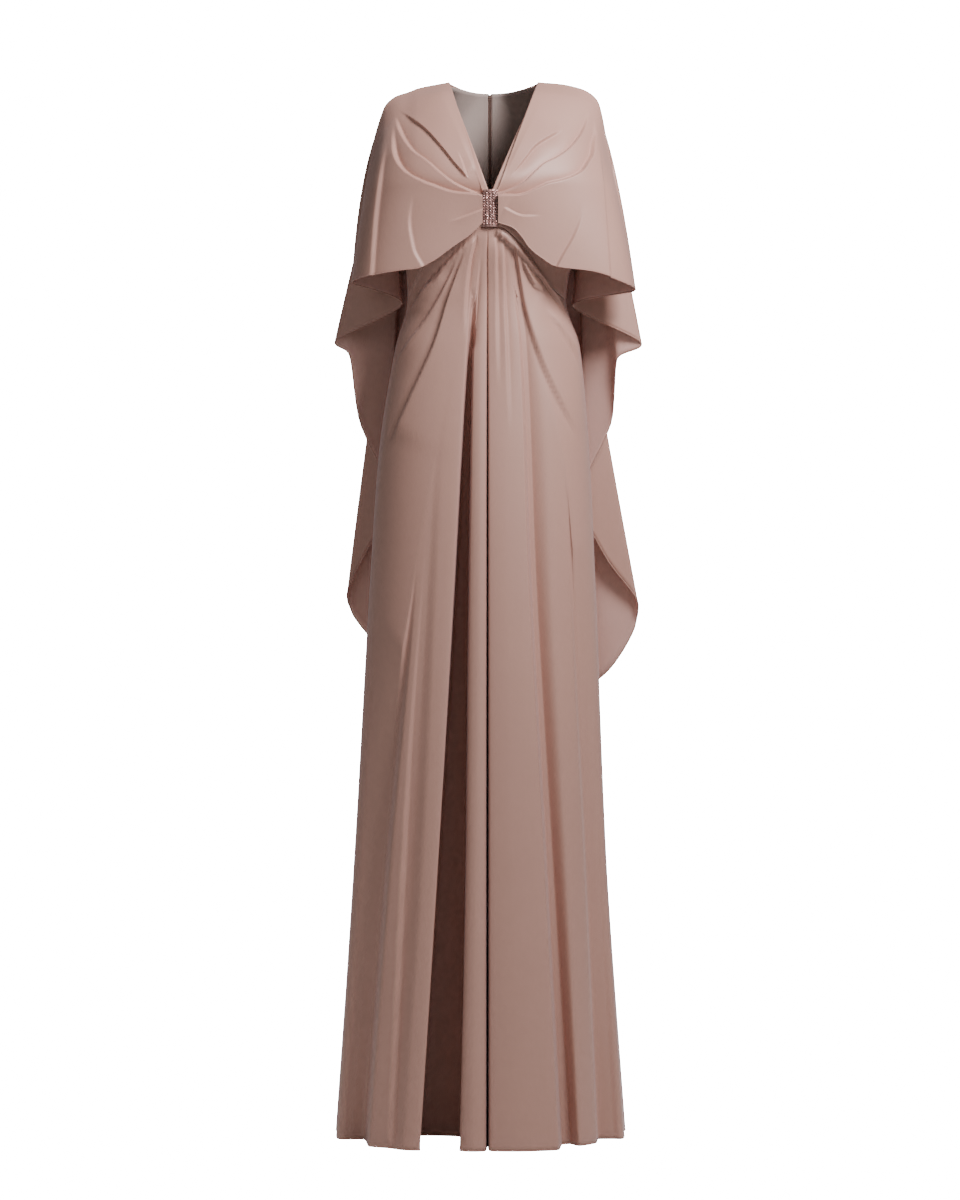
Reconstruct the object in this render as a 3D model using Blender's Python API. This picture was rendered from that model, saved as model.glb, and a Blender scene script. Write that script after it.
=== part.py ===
"""A floor-length v-neck gown with a cape, worn with no wearer, as the pieces of cloth that make it.

Sizes are millimetres. A place on the garment is given by three numbers: out, the distance from the
middle towards one side; y, the depth, with the front at -y; and drop, the distance below the shoulder.
Left and right are the viewer's, with the front facing the viewer.
"""
import bmesh
import bpy
import numpy as np

MM = 0.001
SHARP = 0.9

# Cloth and seams
WALL = 1.5
SEAM = 0.15
TIGHTEST_BEND = 0.75
ROUND = 2.3
HEM_DROP = 1581.0
SIDES = {"left": -1.0, "right": 1.0}

# Gown: half widths and depths of its plain form at each drop.
# drop, left, right, front, back
GOWN = (
    (0, 150, 152, 2, 2),
    (20, 150, 152, 32, 40),
    (60, 148, 150, 68, 75),
    (110, 143, 145, 101, 85),
    (165, 139, 141, 120, 90),
    (225, 131, 133, 117, 86),
    (330, 124, 114, 98, 74),
    (400, 142, 135, 103, 86),
    (560, 167, 149, 118, 108),
    (750, 180, 158, 130, 122),
    (1150, 203, 174, 150, 155),
    (1581, 231, 202, 175, 200),
)
COLUMN = {"left": 1, "right": 2, "front": 3, "back": 4}

# Shoulder line: out, drop.
SHOULDER = {
    "left": ((0, 0), (61, 0), (107, 9), (123, 15), (141, 21), (156, 33), (162, 45), (178, 102), (207, 302)),
    "right": ((0, 0), (72, 0), (107, 3), (134, 9), (148, 15), (161, 27), (166, 39), (178, 102), (218, 313)),
}
NECK_OUT = {"left": 61.0, "right": 72.0}
SHOULDER_TIP = {"left": 141.0, "right": 148.0}
BACK_NECK_DROP = 8.0
BACK_NECK_RISE = 52.0
SHOULDER_FADE = (60.0, 200.0)

# Beaded bar, between the cape's two fronts
BAR_HALF = 11.0
BAR_TOP = 175.0
BAR_BOTTOM = 222.0
BAR_THICK = 6.0
BAR_CROWN = 0.45
BAR_UNDER = 6.0
BAR_ROWS = 8
BAR_COLUMNS = 7

# Waist seam of the front: out, drop.
WAIST_SEAM = {
    "left": ((-8, 228), (12, 228), (75, 252), (90, 270), (108, 297), (124, 330)),
    "right": ((-8, 228), (12, 228), (45, 252), (70, 285), (90, 312), (114, 330)),
}
BACK_WAIST = 330.0

# Skirt front folds from the centre crease to the side seam.
# name, out at the seam, high hip, thigh, calf and hem; recess at the hem; drop where it starts
LEVELS = (0.0, 400.0, 750.0, 1150.0, HEM_DROP)
FOLDS = {
    "left": (
        ("crease_floor", 4.15, 4.15, 4.15, 4.15, 4.15, 60, 232),
        ("crease_edge", 6, 6.5, 6.5, 7, 7, 8, 232),
        ("narrow_crest", 8, 15, 17, 21, 26, 0, 232),
        ("narrow_edge", 11, 23, 30, 35, 45, 12, 300),
        ("pleat_right", 14, 26, 33, 37, 44, 160, 320),
        ("pleat_floor", 17, 29, 41, 56, 74, 168, 320),
        ("pleat_left", 20, 32, 51, 76, 107, 158, 320),
        ("pleat_edge", 23, 35, 53, 75, 102, 3, 320),
        ("panel_crest", 30, 60, 78, 97, 126, -4, 500),
        ("panel_hollow", 40, 76, 93, 119, 152, 7, 600),
        ("panel_edge", 50, 92, 108, 143, 177, 4, 700),
        ("side_hollow", 66, 104, 122, 155, 188, 72, 850),
        ("side_roll", 102, 128, 158, 180, 208, 48, 800),
        ("side_seam", 124, 142, 180, 203, 231, 0, 800),
    ),
    "right": (
        ("crease_floor", -3.85, -3.85, -3.85, -3.85, -3.85, 60, 232),
        ("crease_edge", -2, -1.5, -1.5, -1, -1, 8, 232),
        ("wide_crest", 10, 21, 26, 36, 48, 0, 232),
        ("wide_edge", 20, 43, 56, 77, 99, 2, 300),
        ("wide_hollow", 24, 48, 62, 84, 107, 60, 330),
        ("wide_floor", 29, 54, 68, 91, 117, 60, 330),
        ("roll_crest", 36, 78, 91, 113, 133, 30, 450),
        ("roll_edge", 50, 106, 117, 137, 157, 42, 600),
        ("side_hollow", 60, 112, 124, 143, 162, 80, 700),
        ("side_roll", 86, 124, 143, 160, 183, 52, 700),
        ("side_seam", 114, 135, 158, 174, 202, 0, 700),
    ),
}
FOLD_GROWTH = 0.8
SKIRT_ROWS = (0, 0.02, 0.05, 0.09, 0.14, 0.2, 0.27, 0.35, 0.43, 0.52, 0.61, 0.7, 0.8, 0.9, 1)
SKIRT_STEPS = 2

# Soft ridges pulled out from the bar: height, width, then the line as (drop, out) pairs.
PULLS = {
    "left": (
        (6, 10, ((235, 14), (380, 52), (512, 96), (593, 125))),
        (5, 9, ((250, 30), (321, 74), (380, 103), (430, 122))),
        (4, 6, ((235, 10), (300, 24), (380, 40), (470, 52))),
    ),
    "right": (
        (7, 10, ((241, 30), (395, 63), (468, 88), (586, 139))),
        (4, 9, ((262, 45), (351, 95), (424, 124), (470, 134))),
    ),
}

# Skirt back flutes: drop, amplitude.
FLUTES = ((330, 0), (560, 3), (750, 7), (1150, 15), (1581, 23))
FLUTE_COUNT = 2.5
BACK_COLUMNS = 15
BACK_ROW_DROPS = (330, 400, 470, 500, 600, 720, 860, 1020, 1190, 1380, 1581)

# Cape front: hem from the bar to the side tip (out, drop), and the pleats that fan out from the bar.
CAPE_HEM = {
    "left": ((11.3, 222), (30, 240), (52, 255), (88, 280), (110, 289), (132, 291), (170, 296), (207, 302)),
    "right": ((11.3, 222), (30, 243), (58, 262), (84, 281), (105, 284), (150, 292), (186, 300), (218, 313)),
}
# height, place at the bar, place at the shoulder, width at the bar, width at the shoulder, reach
PLEATS = (
    (7, 0.09, 0.17, 0.06, 0.035, 0.85),
    (8, 0.26, 0.24, 0.07, 0.045, 0.95),
    (8, 0.44, 0.32, 0.07, 0.05, 1.0),
    (5, 0.63, 0.55, 0.07, 0.09, 0.55),
    (5, 0.84, 0.85, 0.07, 0.12, 0.5),
)
PLEAT_PINCH = 0.18
PLEAT_SPREAD = 0.15
TIP_Y = -30.0
RIDGE_TURN = (60.0, 300.0)
CAPE_PROUD = 4.5
PROUD_START = 25.0
CHEST_DROP = 190.0
CHEST_FALL = 0.2
FAN = 1.25
FALL_START = 1.15
SHOULDER_ROWS = 8
CAPE_FRONT_COLUMNS = 14

# Cape back: falls of cloth from the side tip round to the centre back.
# name, place on the top edge, hem out, hem y, hem drop, then how far the fall swings out, back and down
FALLS = {
    "left": (
        ("tip_1", 0.0, 207, -30, 302, 54, 2, 60),
        ("tip_1_back", 0.025, 205, -16, 304, 54, 12, 60),
        ("hollow_1", 0.07, 132, 14, 331, 30, 26, 62),
        ("tip_2", 0.12, 235, 42, 387, 44, 38, 64),
        ("tip_2_back", 0.15, 214, 54, 404, 46, 44, 64),
        ("lobe_2", 0.20, 200, 78, 498, 46, 52, 66),
        ("hollow_2", 0.26, 150, 112, 622, 44, 62, 70),
        ("rise_3", 0.31, 180, 130, 684, 44, 64, 72),
        ("tip_3", 0.37, 220, 150, 768, 51, 74, 75),
        ("tip_3_back", 0.41, 213, 164, 795, 50, 82, 75),
        ("back_1", 0.5, 176, 180, 845, 44, 84, 80),
        ("back_2", 0.6, 128, 200, 900, 36, 62, 80),
        ("back_3", 0.72, 88, 182, 930, 24, 44, 80),
        ("back_4", 0.86, 44, 200, 948, 10, 24, 80),
        ("centre", 1.0, 0, 190, 955, 0, 10, 80),
    ),
    "right": (
        ("tip_1", 0.0, 218, -30, 313, 39, 2, 60),
        ("tip_1_back", 0.025, 216, -16, 315, 39, 12, 60),
        ("hollow_1", 0.07, 124, 14, 334, 24, 26, 62),
        ("tip_2", 0.12, 230, 42, 390, 38, 38, 64),
        ("tip_2_back", 0.15, 193, 54, 412, 40, 44, 64),
        ("lobe_2", 0.20, 187, 80, 496, 36, 52, 66),
        ("hollow_2", 0.26, 140, 112, 620, 38, 62, 70),
        ("rise_3", 0.31, 176, 130, 708, 20, 64, 72),
        ("tip_3", 0.37, 229, 150, 784, 2, 74, 75),
        ("tip_3_back", 0.41, 225, 164, 814, 2, 82, 75),
        ("back_1", 0.5, 184, 180, 885, 6, 84, 80),
        ("back_2", 0.6, 128, 200, 925, 8, 62, 80),
        ("back_3", 0.72, 88, 182, 942, 12, 44, 80),
        ("back_4", 0.86, 44, 200, 952, 10, 24, 80),
        ("centre", 1.0, 0, 190, 955, 0, 10, 80),
    ),
}
CAPE_ROWS = 15
CAPE_BACK_STEPS = 2
CAPE_CLEAR = 3.2
REST_PART = (0.06, 0.2)
CLOSE_PART = (0.8, 1.0)
CLOSE_END = 700.0

# Bodice: shoulder width, and the armhole as (out, drop) from the shoulder to the side.
UNDER = 5.0
UNDER_FADE = (100.0, 200.0)
BODICE_SHOULDER = 112.0
ARMHOLE = ((112, 0), (104, 60), (106, 120), (120, 170), (134, 200))
BODICE_COLUMNS = 11
BODICE_ROWS = 11

# Zip
ZIP_HALF = 1.7
ZIP_TOP = 14.0
ZIP_END = 466.0
ZIP_GAP_END = 470.0
CAPE_GAP_END = 540.0
GAP_CLOSE = 25.0
CHAIN_ROWS = 26
CHAIN_HALF = 1.4
SLIDER_WIDTH = 7.0
SLIDER_TOP = 13.0
SLIDER_LENGTH = 11.0
SLIDER_THICK = 2.4
PIN_DROP = 17.0
PIN_RADIUS = 0.7
LUG_WIDTH = 1.2
TAB_WIDTH = 3.6
TAB_LENGTH = 20.0
TAB_THICK = 1.2
TAB_EYE = 1.9
LUG_EDGE = 1.0
RUNNING_GAP = 0.3
ROD_SIDES = 20

CREPE = (0.397, 0.262, 0.228)
CREPE_BACK = (0.30, 0.232, 0.212)
BEADS = (0.30, 0.14, 0.12)
METAL = (0.36, 0.25, 0.22)


def curve(places, values, where):
    """Values between given places, on a smooth line that never swings past its own points."""
    places = np.asarray(places, float)
    values = np.asarray(values, float)
    flat = values.reshape(len(places), -1)
    step = np.diff(places)[:, None]
    rise = np.diff(flat, axis=0) / step
    slope = np.zeros_like(flat)
    slope[0] = rise[0]
    slope[-1] = rise[-1]
    same_way = rise[:-1] * rise[1:] > 0.0
    total = np.where(same_way, rise[:-1] + rise[1:], 1.0)
    slope[1:-1] = np.where(same_way, 2.0 * rise[:-1] * rise[1:] / total, 0.0)
    where = np.asarray(where, float)
    spots = np.clip(where.reshape(-1), places[0], places[-1])
    span = np.clip(np.searchsorted(places, spots, side="right") - 1, 0, len(places) - 2)
    width = step[span]
    t = (spots - places[span])[:, None] / width
    result = (
        (1.0 + 2.0 * t) * (1.0 - t) ** 2 * flat[span]
        + t * (1.0 - t) ** 2 * width * slope[span]
        + t**2 * (3.0 - 2.0 * t) * flat[span + 1]
        + t**2 * (t - 1.0) * width * slope[span + 1]
    )
    return result.reshape(where.shape + values.shape[1:])


def line(pairs, where):
    """Read a table of pairs at the given places."""
    table = np.asarray(pairs, float)
    return curve(table[:, 0], table[:, 1], where)


def smooth_step(start, end, value):
    """Rise softly from 0 at start to 1 at end."""
    t = np.clip((np.asarray(value, float) - start) / (end - start), 0.0, 1.0)
    return t * t * (3.0 - 2.0 * t)


def gown(column, drop):
    """One measure of the gown's plain form at each drop."""
    table = np.asarray(GOWN, float)
    return curve(table[:, 0], table[:, COLUMN[column]], drop)


def fullness(out, half):
    """How much of the full depth the form keeps at a distance out from the middle."""
    share = np.clip(np.abs(out) / half, 0.0, 1.0)
    return (1.0 - share**ROUND) ** (1.0 / ROUND)


def front_y(side, out, drop, half=None):
    """Depth of the gown's plain front."""
    fall = 1.0 - smooth_step(*SHOULDER_FADE, drop)
    below = drop - line(SHOULDER[side], np.abs(out)) * fall
    half = gown(side, drop) if half is None else half
    return -gown("front", np.maximum(below, 0.0)) * fullness(out, half)


def back_y(side, out, drop):
    """Depth of the gown's plain back."""
    neck = NECK_OUT[side]
    rise = BACK_NECK_RISE * (1.0 - smooth_step(0.0, neck, np.abs(out)))
    fall = 1.0 - smooth_step(*SHOULDER_FADE, drop)
    below = drop - (line(SHOULDER[side], np.abs(out)) - rise) * fall
    return gown("back", np.maximum(below, 0.0)) * fullness(out, gown(side, drop))


def zip_edge(drop, end=ZIP_GAP_END):
    """Distance of a centre-back edge from the middle: parted for the zip, then closed to a seam."""
    return ZIP_HALF + (SEAM - ZIP_HALF) * smooth_step(end, end + GAP_CLOSE, drop)


def world(side, out, y, drop):
    """Turn out, y and drop into points."""
    return np.stack([SIDES[side] * out, y, -drop], axis=-1)


def patch(top, bottom, inner, outer):
    """Fill a grid between four edges that share their corners."""
    across = np.linspace(0.0, 1.0, top.shape[0])[None, :, None]
    down = np.linspace(0.0, 1.0, inner.shape[0])[:, None, None]
    between = (1 - across) * inner[:, None] + across * outer[:, None]
    between = between + (1 - down) * top[None] + down * bottom[None]
    corners = (1 - down) * ((1 - across) * top[0] + across * top[-1])
    return between - corners - down * ((1 - across) * bottom[0] + across * bottom[-1])


def unit(vectors):
    """Vectors of length 1."""
    return vectors / np.maximum(np.linalg.norm(vectors, axis=-1, keepdims=True), 1e-9)


def normals(grid, facing):
    """Mean normal at each point of a grid, shorter where the cloth bends sharply."""
    side_a = grid[1:, 1:] - grid[:-1, :-1]
    side_b = grid[1:, :-1] - grid[:-1, 1:]
    face = unit(np.cross(side_a, side_b)) * facing
    total = np.zeros_like(grid)
    count = np.zeros(grid.shape[:2] + (1,))
    for rows in (slice(0, -1), slice(1, None)):
        for columns in (slice(0, -1), slice(1, None)):
            total[rows, columns] += face
            count[rows, columns] += 1
    return total / count


def edge_normal(edge, normal, along):
    """Normals of an edge, square to its own line and to the direction across its seam."""
    tangent = np.gradient(edge, axis=0)
    across = np.cross(tangent, np.asarray(along, float))
    length = np.linalg.norm(across, axis=-1, keepdims=True)
    same_way = np.sign(np.sum(across * normal, axis=-1, keepdims=True))
    clear = length > 0.2 * np.linalg.norm(tangent, axis=-1, keepdims=True)
    return np.where(clear, across * same_way / np.maximum(length, 1e-9), unit(normal))


def inner_face(grid, facing, seams, thick=WALL):
    """The inside of a wall: the grid moved in, with each edge moved square to its seam."""
    normal = normals(grid, facing)
    edges = {"top": (0, slice(None)), "bottom": (-1, slice(None))}
    edges["start"] = (slice(None), 0)
    edges["end"] = (slice(None), -1)
    for name, along in seams.items():
        normal[edges[name]] = edge_normal(grid[edges[name]], normal[edges[name]], along)
    for row_name, row in (("top", 0), ("bottom", -1)):
        for column_name, column in (("start", 0), ("end", -1)):
            if row_name in seams and column_name in seams:
                corner = np.cross(seams[row_name], seams[column_name])
                if np.any(corner):
                    normal[row, column] = corner * np.sign(corner @ normal[row, column])
    bend = np.clip(np.linalg.norm(normal, axis=-1, keepdims=True), TIGHTEST_BEND, 1.0)
    return grid - unit(normal) * thick / bend


def solid(name, outer, inner, colour, roughness=0.55, metallic=0.0):
    """A closed body between two grids of points."""
    rows, columns = outer.shape[:2]
    count = rows * columns
    points = np.concatenate([outer.reshape(-1, 3), inner.reshape(-1, 3)]) * MM
    index = np.arange(count).reshape(rows, columns)
    faces = []
    for row in range(rows - 1):
        for column in range(columns - 1):
            a = index[row, column]
            b = index[row, column + 1]
            c = index[row + 1, column + 1]
            d = index[row + 1, column]
            if np.linalg.norm(points[a] - points[c]) < np.linalg.norm(points[b] - points[d]):
                halves = ((a, b, c), (a, c, d))
            else:
                halves = ((a, b, d), (b, c, d))
            for half in halves:
                faces.append(half)
                faces.append(tuple(corner + count for corner in reversed(half)))
    border = list(index[0, :-1]) + list(index[:-1, -1])
    border += list(index[-1, :0:-1]) + list(index[:0:-1, 0])
    for here, following in zip(border, border[1:] + border[:1]):
        faces.append((following, here, here + count, following + count))
    mesh = bpy.data.meshes.new(name)
    mesh.from_pydata([tuple(p) for p in points], [], [tuple(int(i) for i in f) for f in faces])
    return finish(name, mesh, colour, roughness, metallic)


def finish(name, mesh, colour, roughness, metallic):
    """Turn a mesh's faces out, shade it and link it with its own material."""
    shape = bmesh.new()
    shape.from_mesh(mesh)
    bmesh.ops.recalc_face_normals(shape, faces=shape.faces)
    shape.to_mesh(mesh)
    shape.free()
    mesh.shade_smooth()
    mesh.set_sharp_from_angle(angle=SHARP)
    item = bpy.data.objects.new(name, mesh)
    bpy.context.scene.collection.objects.link(item)
    material = bpy.data.materials.new(name)
    material.use_nodes = True
    shader = material.node_tree.nodes["Principled BSDF"]
    shader.inputs["Base Color"].default_value = (*colour, 1.0)
    shader.inputs["Roughness"].default_value = roughness
    shader.inputs["Metallic"].default_value = metallic
    mesh.materials.append(material)
    return item


def fold_columns(side, steps):
    """Places along the fold table, a few between each pair of folds."""
    last = len(FOLDS[side]) - 1
    return np.linspace(0.0, last, last * steps + 1)


def fold_tops(side, columns):
    """Distance out of each fold where it leaves the waist seam."""
    tops = np.array([row[1] for row in FOLDS[side]], float)
    return curve(np.arange(len(tops)), tops, columns)


def pulls(side, out, drop):
    """Height of the soft ridges that the bar pulls out of the skirt front."""
    height = np.zeros_like(out)
    for rise, width, path in PULLS[side]:
        start = path[0][0]
        end = path[-1][0]
        part = np.clip((drop - start) / (end - start), 0.0, 1.0)
        offset = (out - line(path, drop)) / width
        height += rise * np.exp(-offset * offset) * np.sin(np.pi * part) ** 0.7
    return height


def skirt_front(side, rows, columns):
    """The skirt front's outer face from the waist seam to the hem."""
    table = np.array([row[1:] for row in FOLDS[side]], float)
    places = np.arange(len(table))
    widths = curve(places, table[:, :5], columns)
    depth = curve(places, table[:, 5], columns)
    start = np.interp(columns, places, table[:, 6])
    top = line(WAIST_SEAM[side], widths[:, 0]) + SEAM
    rows = np.asarray(rows, float)
    drop = top[None, :] + (HEM_DROP - top)[None, :] * rows[:, None]
    out = np.zeros_like(drop)
    for column in range(len(columns)):
        levels = np.array(LEVELS)
        levels[0] = top[column]
        out[:, column] = curve(levels, widths[column], drop[:, column])
    half = gown(side, drop)
    out[:, -1] = half[:, -1]
    out = np.minimum(out, half)
    grown = np.clip((drop - start) / (HEM_DROP - start), 0.0, 1.0) ** FOLD_GROWTH
    y = front_y(side, out, drop) + depth * grown - pulls(side, out, drop)
    y[:, -1] = -SEAM
    return world(side, out, y, drop)


def skirt_back(side, drops, count):
    """The skirt back's outer face, with soft flutes that open towards the hem."""
    angle = np.linspace(0.0, np.pi / 2.0, count)[None, :]
    drop = np.asarray(drops, float)[:, None]
    drop[0] += SEAM
    half = gown(side, drop)
    flute = line(FLUTES, drop) * np.cos(4.0 * FLUTE_COUNT * angle) * np.cos(angle) ** 0.5
    reach = 1.0 + flute / half
    out = half * np.sin(angle) ** (2.0 / ROUND) * reach
    y = gown("back", drop) * np.cos(angle) ** (2.0 / ROUND) * reach
    drop = np.broadcast_to(drop, out.shape).copy()
    out[:, 0] = zip_edge(drop[:, 0])
    out[:, -1] = half[:, 0]
    y[:, -1] = SEAM
    return world(side, out, y, drop)


def shoulder_edge(side, end, count):
    """Points along the bodice's shoulder line from the neck to a distance out."""
    out = np.linspace(NECK_OUT[side] + UNDER / 2.0, end, count)
    return np.stack([out, line(SHOULDER[side], out) + UNDER], axis=-1)


def armhole_edge(side, drop):
    """Out of the armhole and then the side seam at each drop."""
    hole = np.asarray(ARMHOLE, float)
    return np.where(drop < hole[-1, 1], line(hole[:, ::-1], drop), gown(side, drop))


def bodice_front(side, columns):
    """The bodice front's outer face, a plain layer under the cape."""
    seam_out = fold_tops(side, columns)
    seam_out = np.concatenate([[SEAM], seam_out[seam_out > 3.0]])
    bottom = np.stack([seam_out, line(WAIST_SEAM[side], seam_out) - SEAM], axis=-1)
    down = np.linspace(0.0, 1.0, BODICE_ROWS)
    top = shoulder_edge(side, BODICE_SHOULDER, len(seam_out))
    inner_drop = UNDER + (bottom[0, 1] - UNDER) * down
    neck = NECK_OUT[side]
    inner_out = UNDER / 2.0 + neck * (1.0 - inner_drop / BAR_TOP)
    inner = np.stack([np.maximum(inner_out, SEAM), inner_drop], axis=-1)
    inner[0] = top[0]
    arm_drop = top[-1, 1] + (bottom[-1, 1] - top[-1, 1]) * down
    outer = np.stack([armhole_edge(side, arm_drop), arm_drop], axis=-1)
    outer[-1, 0] = bottom[-1, 0]
    flat = patch(top, bottom, inner, outer)
    out = np.minimum(flat[..., 0], gown(side, flat[..., 1]))
    lowered = UNDER * (1.0 - smooth_step(*UNDER_FADE, flat[..., 1]))
    y = front_y(side, out, flat[..., 1] - lowered)
    y[0] = -SEAM
    y[:, -1] = np.minimum(y[:, -1], -SEAM)
    return world(side, out, y, flat[..., 1])


def bodice_back(side):
    """The bodice back's outer face, from the centre-back zip to the armhole and side."""
    neck = NECK_OUT[side] + UNDER / 2.0
    split = BODICE_COLUMNS // 2
    turn = np.linspace(0.0, np.pi / 2.0, split + 1)
    neck_out = ZIP_HALF + (neck - ZIP_HALF) * np.sin(turn)
    neck_drop = UNDER + (BACK_NECK_DROP - UNDER) * np.cos(turn)
    neck_edge = np.stack([neck_out, neck_drop], axis=-1)
    shoulder = shoulder_edge(side, BODICE_SHOULDER, BODICE_COLUMNS - split)
    top = np.concatenate([neck_edge[:-1], shoulder])
    down = np.linspace(0.0, 1.0, BODICE_ROWS)
    low = BACK_WAIST - SEAM
    inner_drop = BACK_NECK_DROP + (low - BACK_NECK_DROP) * down
    inner = np.stack([zip_edge(inner_drop), inner_drop], axis=-1)
    arm_drop = top[-1, 1] + (low - top[-1, 1]) * down
    outer = np.stack([armhole_edge(side, arm_drop), arm_drop], axis=-1)
    angle = np.linspace(0.0, np.pi / 2.0, BODICE_COLUMNS)
    bottom_out = gown(side, BACK_WAIST) * np.sin(angle) ** (2.0 / ROUND)
    bottom_out[0] = ZIP_HALF
    bottom = np.stack([bottom_out, np.full_like(bottom_out, low)], axis=-1)
    flat = patch(top, bottom, inner, outer)
    out = np.minimum(flat[..., 0], gown(side, flat[..., 1]))
    high = 1.0 - smooth_step(*UNDER_FADE, flat[..., 1])
    lowered = UNDER * high * smooth_step(0.0, neck, out)
    y = back_y(side, out, flat[..., 1] - lowered)
    y[0, split:] = SEAM
    y[:, -1] = np.maximum(y[:, -1], SEAM)
    return world(side, out, y, flat[..., 1])


def tip_edge(side, share):
    """Out and drop along the cape's outer edge: the shoulder seam, then over the arm to the side tip."""
    table = np.asarray(SHOULDER[side], float)[1:]
    return curve(edge_lengths(table), table, np.asarray(share) * edge_lengths(table)[-1])


def edge_lengths(points):
    """Distance along a line of points from its start."""
    return np.concatenate([[0.0], np.cumsum(np.hypot(*np.diff(points, axis=0).T))])


def shoulder_share(side):
    """How far along the cape's outer edge the shoulder tip lies."""
    table = np.asarray(SHOULDER[side], float)[1:]
    lengths = edge_lengths(table)
    return np.interp(SHOULDER_TIP[side], table[:, 0], lengths) / lengths[-1]


def fall_rows(rows):
    """Places down a fall of cloth, closer together at the top."""
    return np.linspace(0.0, 1.0, rows) ** FALL_START


def cape_front(side, shoulder_rows, rows, columns):
    """The cape front's outer face, fanned from the bar to the shoulder and the side tip."""
    tip = shoulder_share(side)
    over_arm = tip + (1.0 - tip) * fall_rows(rows)
    down = np.concatenate([np.linspace(0.0, tip, shoulder_rows)[:-1], over_arm])
    across = np.linspace(0.0, 1.0, columns) ** FAN
    bar_drop = BAR_TOP + (BAR_BOTTOM - BAR_TOP) * down
    bar = np.stack([np.full(len(down), BAR_HALF + RUNNING_GAP), bar_drop], axis=-1)
    outer = tip_edge(side, down)
    top = bar[0] + (outer[0] - bar[0]) * across[:, None]
    hem = np.asarray(CAPE_HEM[side], float)
    bottom = curve(edge_lengths(hem), hem, across * edge_lengths(hem)[-1])
    weight = across[None, :, None]
    tall = down[:, None, None]
    flat = (1 - weight) * bar[:, None] + weight * outer[:, None]
    flat = flat + (1 - tall) * (top[None] - (1 - weight) * bar[0] - weight * outer[0])
    flat = flat + tall * (bottom[None] - (1 - weight) * bar[-1] - weight * outer[-1])
    out = flat[..., 0]
    drop = flat[..., 1]
    ridge = np.interp(drop, outer[:, 1], outer[:, 0])
    share = np.clip(out / ridge, 0.0, 1.0)
    chest_drop = np.minimum(drop, CHEST_DROP + CHEST_FALL * drop)
    y = front_y(side, out, chest_drop, ridge) + ridge_y(drop) * share**2
    y -= CAPE_PROUD * (1.0 - share**4) * smooth_step(0.0, PROUD_START, drop)
    for rise, at_bar, at_tip, bar_width, tip_width, reach in PLEATS:
        place = at_bar + (at_tip - at_bar) * across[None, :] ** 0.6
        width = bar_width + (tip_width - bar_width) * across[None, :]
        fade = 1.0 - smooth_step(0.3 * reach, reach, across[None, :])
        fade = fade * (PLEAT_PINCH + (1.0 - PLEAT_PINCH) * smooth_step(0.0, PLEAT_SPREAD, across[None, :]))
        offset = (down[:, None] - place) / width
        y -= rise * fade * np.exp(-offset * offset) * smooth_step(0.0, 0.05, down[:, None])
    y[:, -1] = ridge_y(drop[:, -1]) - SEAM
    return world(side, out, y, drop)


def ridge_y(drop):
    """Depth of the cape's outer edge, which comes forward as it falls over the arm."""
    return TIP_Y * smooth_step(*RIDGE_TURN, drop)


def top_edge(side, share):
    """The cape back's top edge: the shoulder seam from its tip to the neck, then the back neck."""
    neck = NECK_OUT[side]
    share = np.asarray(share, float)
    seam_part = np.clip(share / 0.5, 0.0, 1.0)
    seam_out = SHOULDER_TIP[side] + (neck - SHOULDER_TIP[side]) * seam_part
    turn = np.clip((share - 0.5) / 0.5, 0.0, 1.0) * np.pi / 2.0
    out = np.where(share < 0.5, seam_out, ZIP_HALF + (neck - ZIP_HALF) * np.cos(turn))
    drop = np.where(share < 0.5, line(SHOULDER[side], seam_out), BACK_NECK_DROP * np.sin(turn))
    y = np.where(share < 0.5, SEAM, back_y(side, out, drop) + CAPE_CLEAR * np.sin(turn))
    return np.stack([out, np.maximum(y, SEAM), drop], axis=-1)


def cape_back(side, rows, steps):
    """The cape back's outer face: cloth falls from the shoulder, opening into cascades down the side."""
    table = np.array([row[1:] for row in FALLS[side]], float)
    places = np.arange(len(table))
    columns = np.linspace(0.0, len(table) - 1.0, (len(table) - 1) * steps + 1)
    read = curve(places, table, columns)
    share = read[None, :, 0]
    top = top_edge(side, read[:, 0])
    hem = read[:, 1:4]
    middle = top + read[:, 4:7]
    fall = fall_rows(rows)
    t = fall[:, None, None]
    grid = (1 - t) ** 2 * top[None] + 2 * t * (1 - t) * middle[None] + t**2 * hem[None]
    out, y, drop = grid[..., 0], grid[..., 1], grid[..., 2]
    tip = shoulder_share(side)
    edge = tip_edge(side, tip + (1.0 - tip) * fall)
    out[:, 0] = edge[:, 0]
    drop[:, 0] = edge[:, 1]
    y[:, 0] = ridge_y(edge[:, 1]) + SEAM
    skin = back_y(side, out, drop) + line(FLUTES, np.maximum(drop, BACK_WAIST)) + CAPE_CLEAR
    behind = (out < gown(side, drop)) & (y > 0.0)
    rest = smooth_step(*REST_PART, share) * smooth_step(0.0, 0.02, fall[:, None])
    y = np.where(behind, y + np.maximum(skin - y, 0.0) * rest, y)
    close = smooth_step(*CLOSE_PART, share) * (1.0 - smooth_step(ZIP_GAP_END, CLOSE_END, drop))
    y = y + (skin - y) * close * behind
    out[:, -1] = zip_edge(drop[:, -1], CAPE_GAP_END)
    y[0] = top[:, 1]
    return world(side, out, y, drop)


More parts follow.
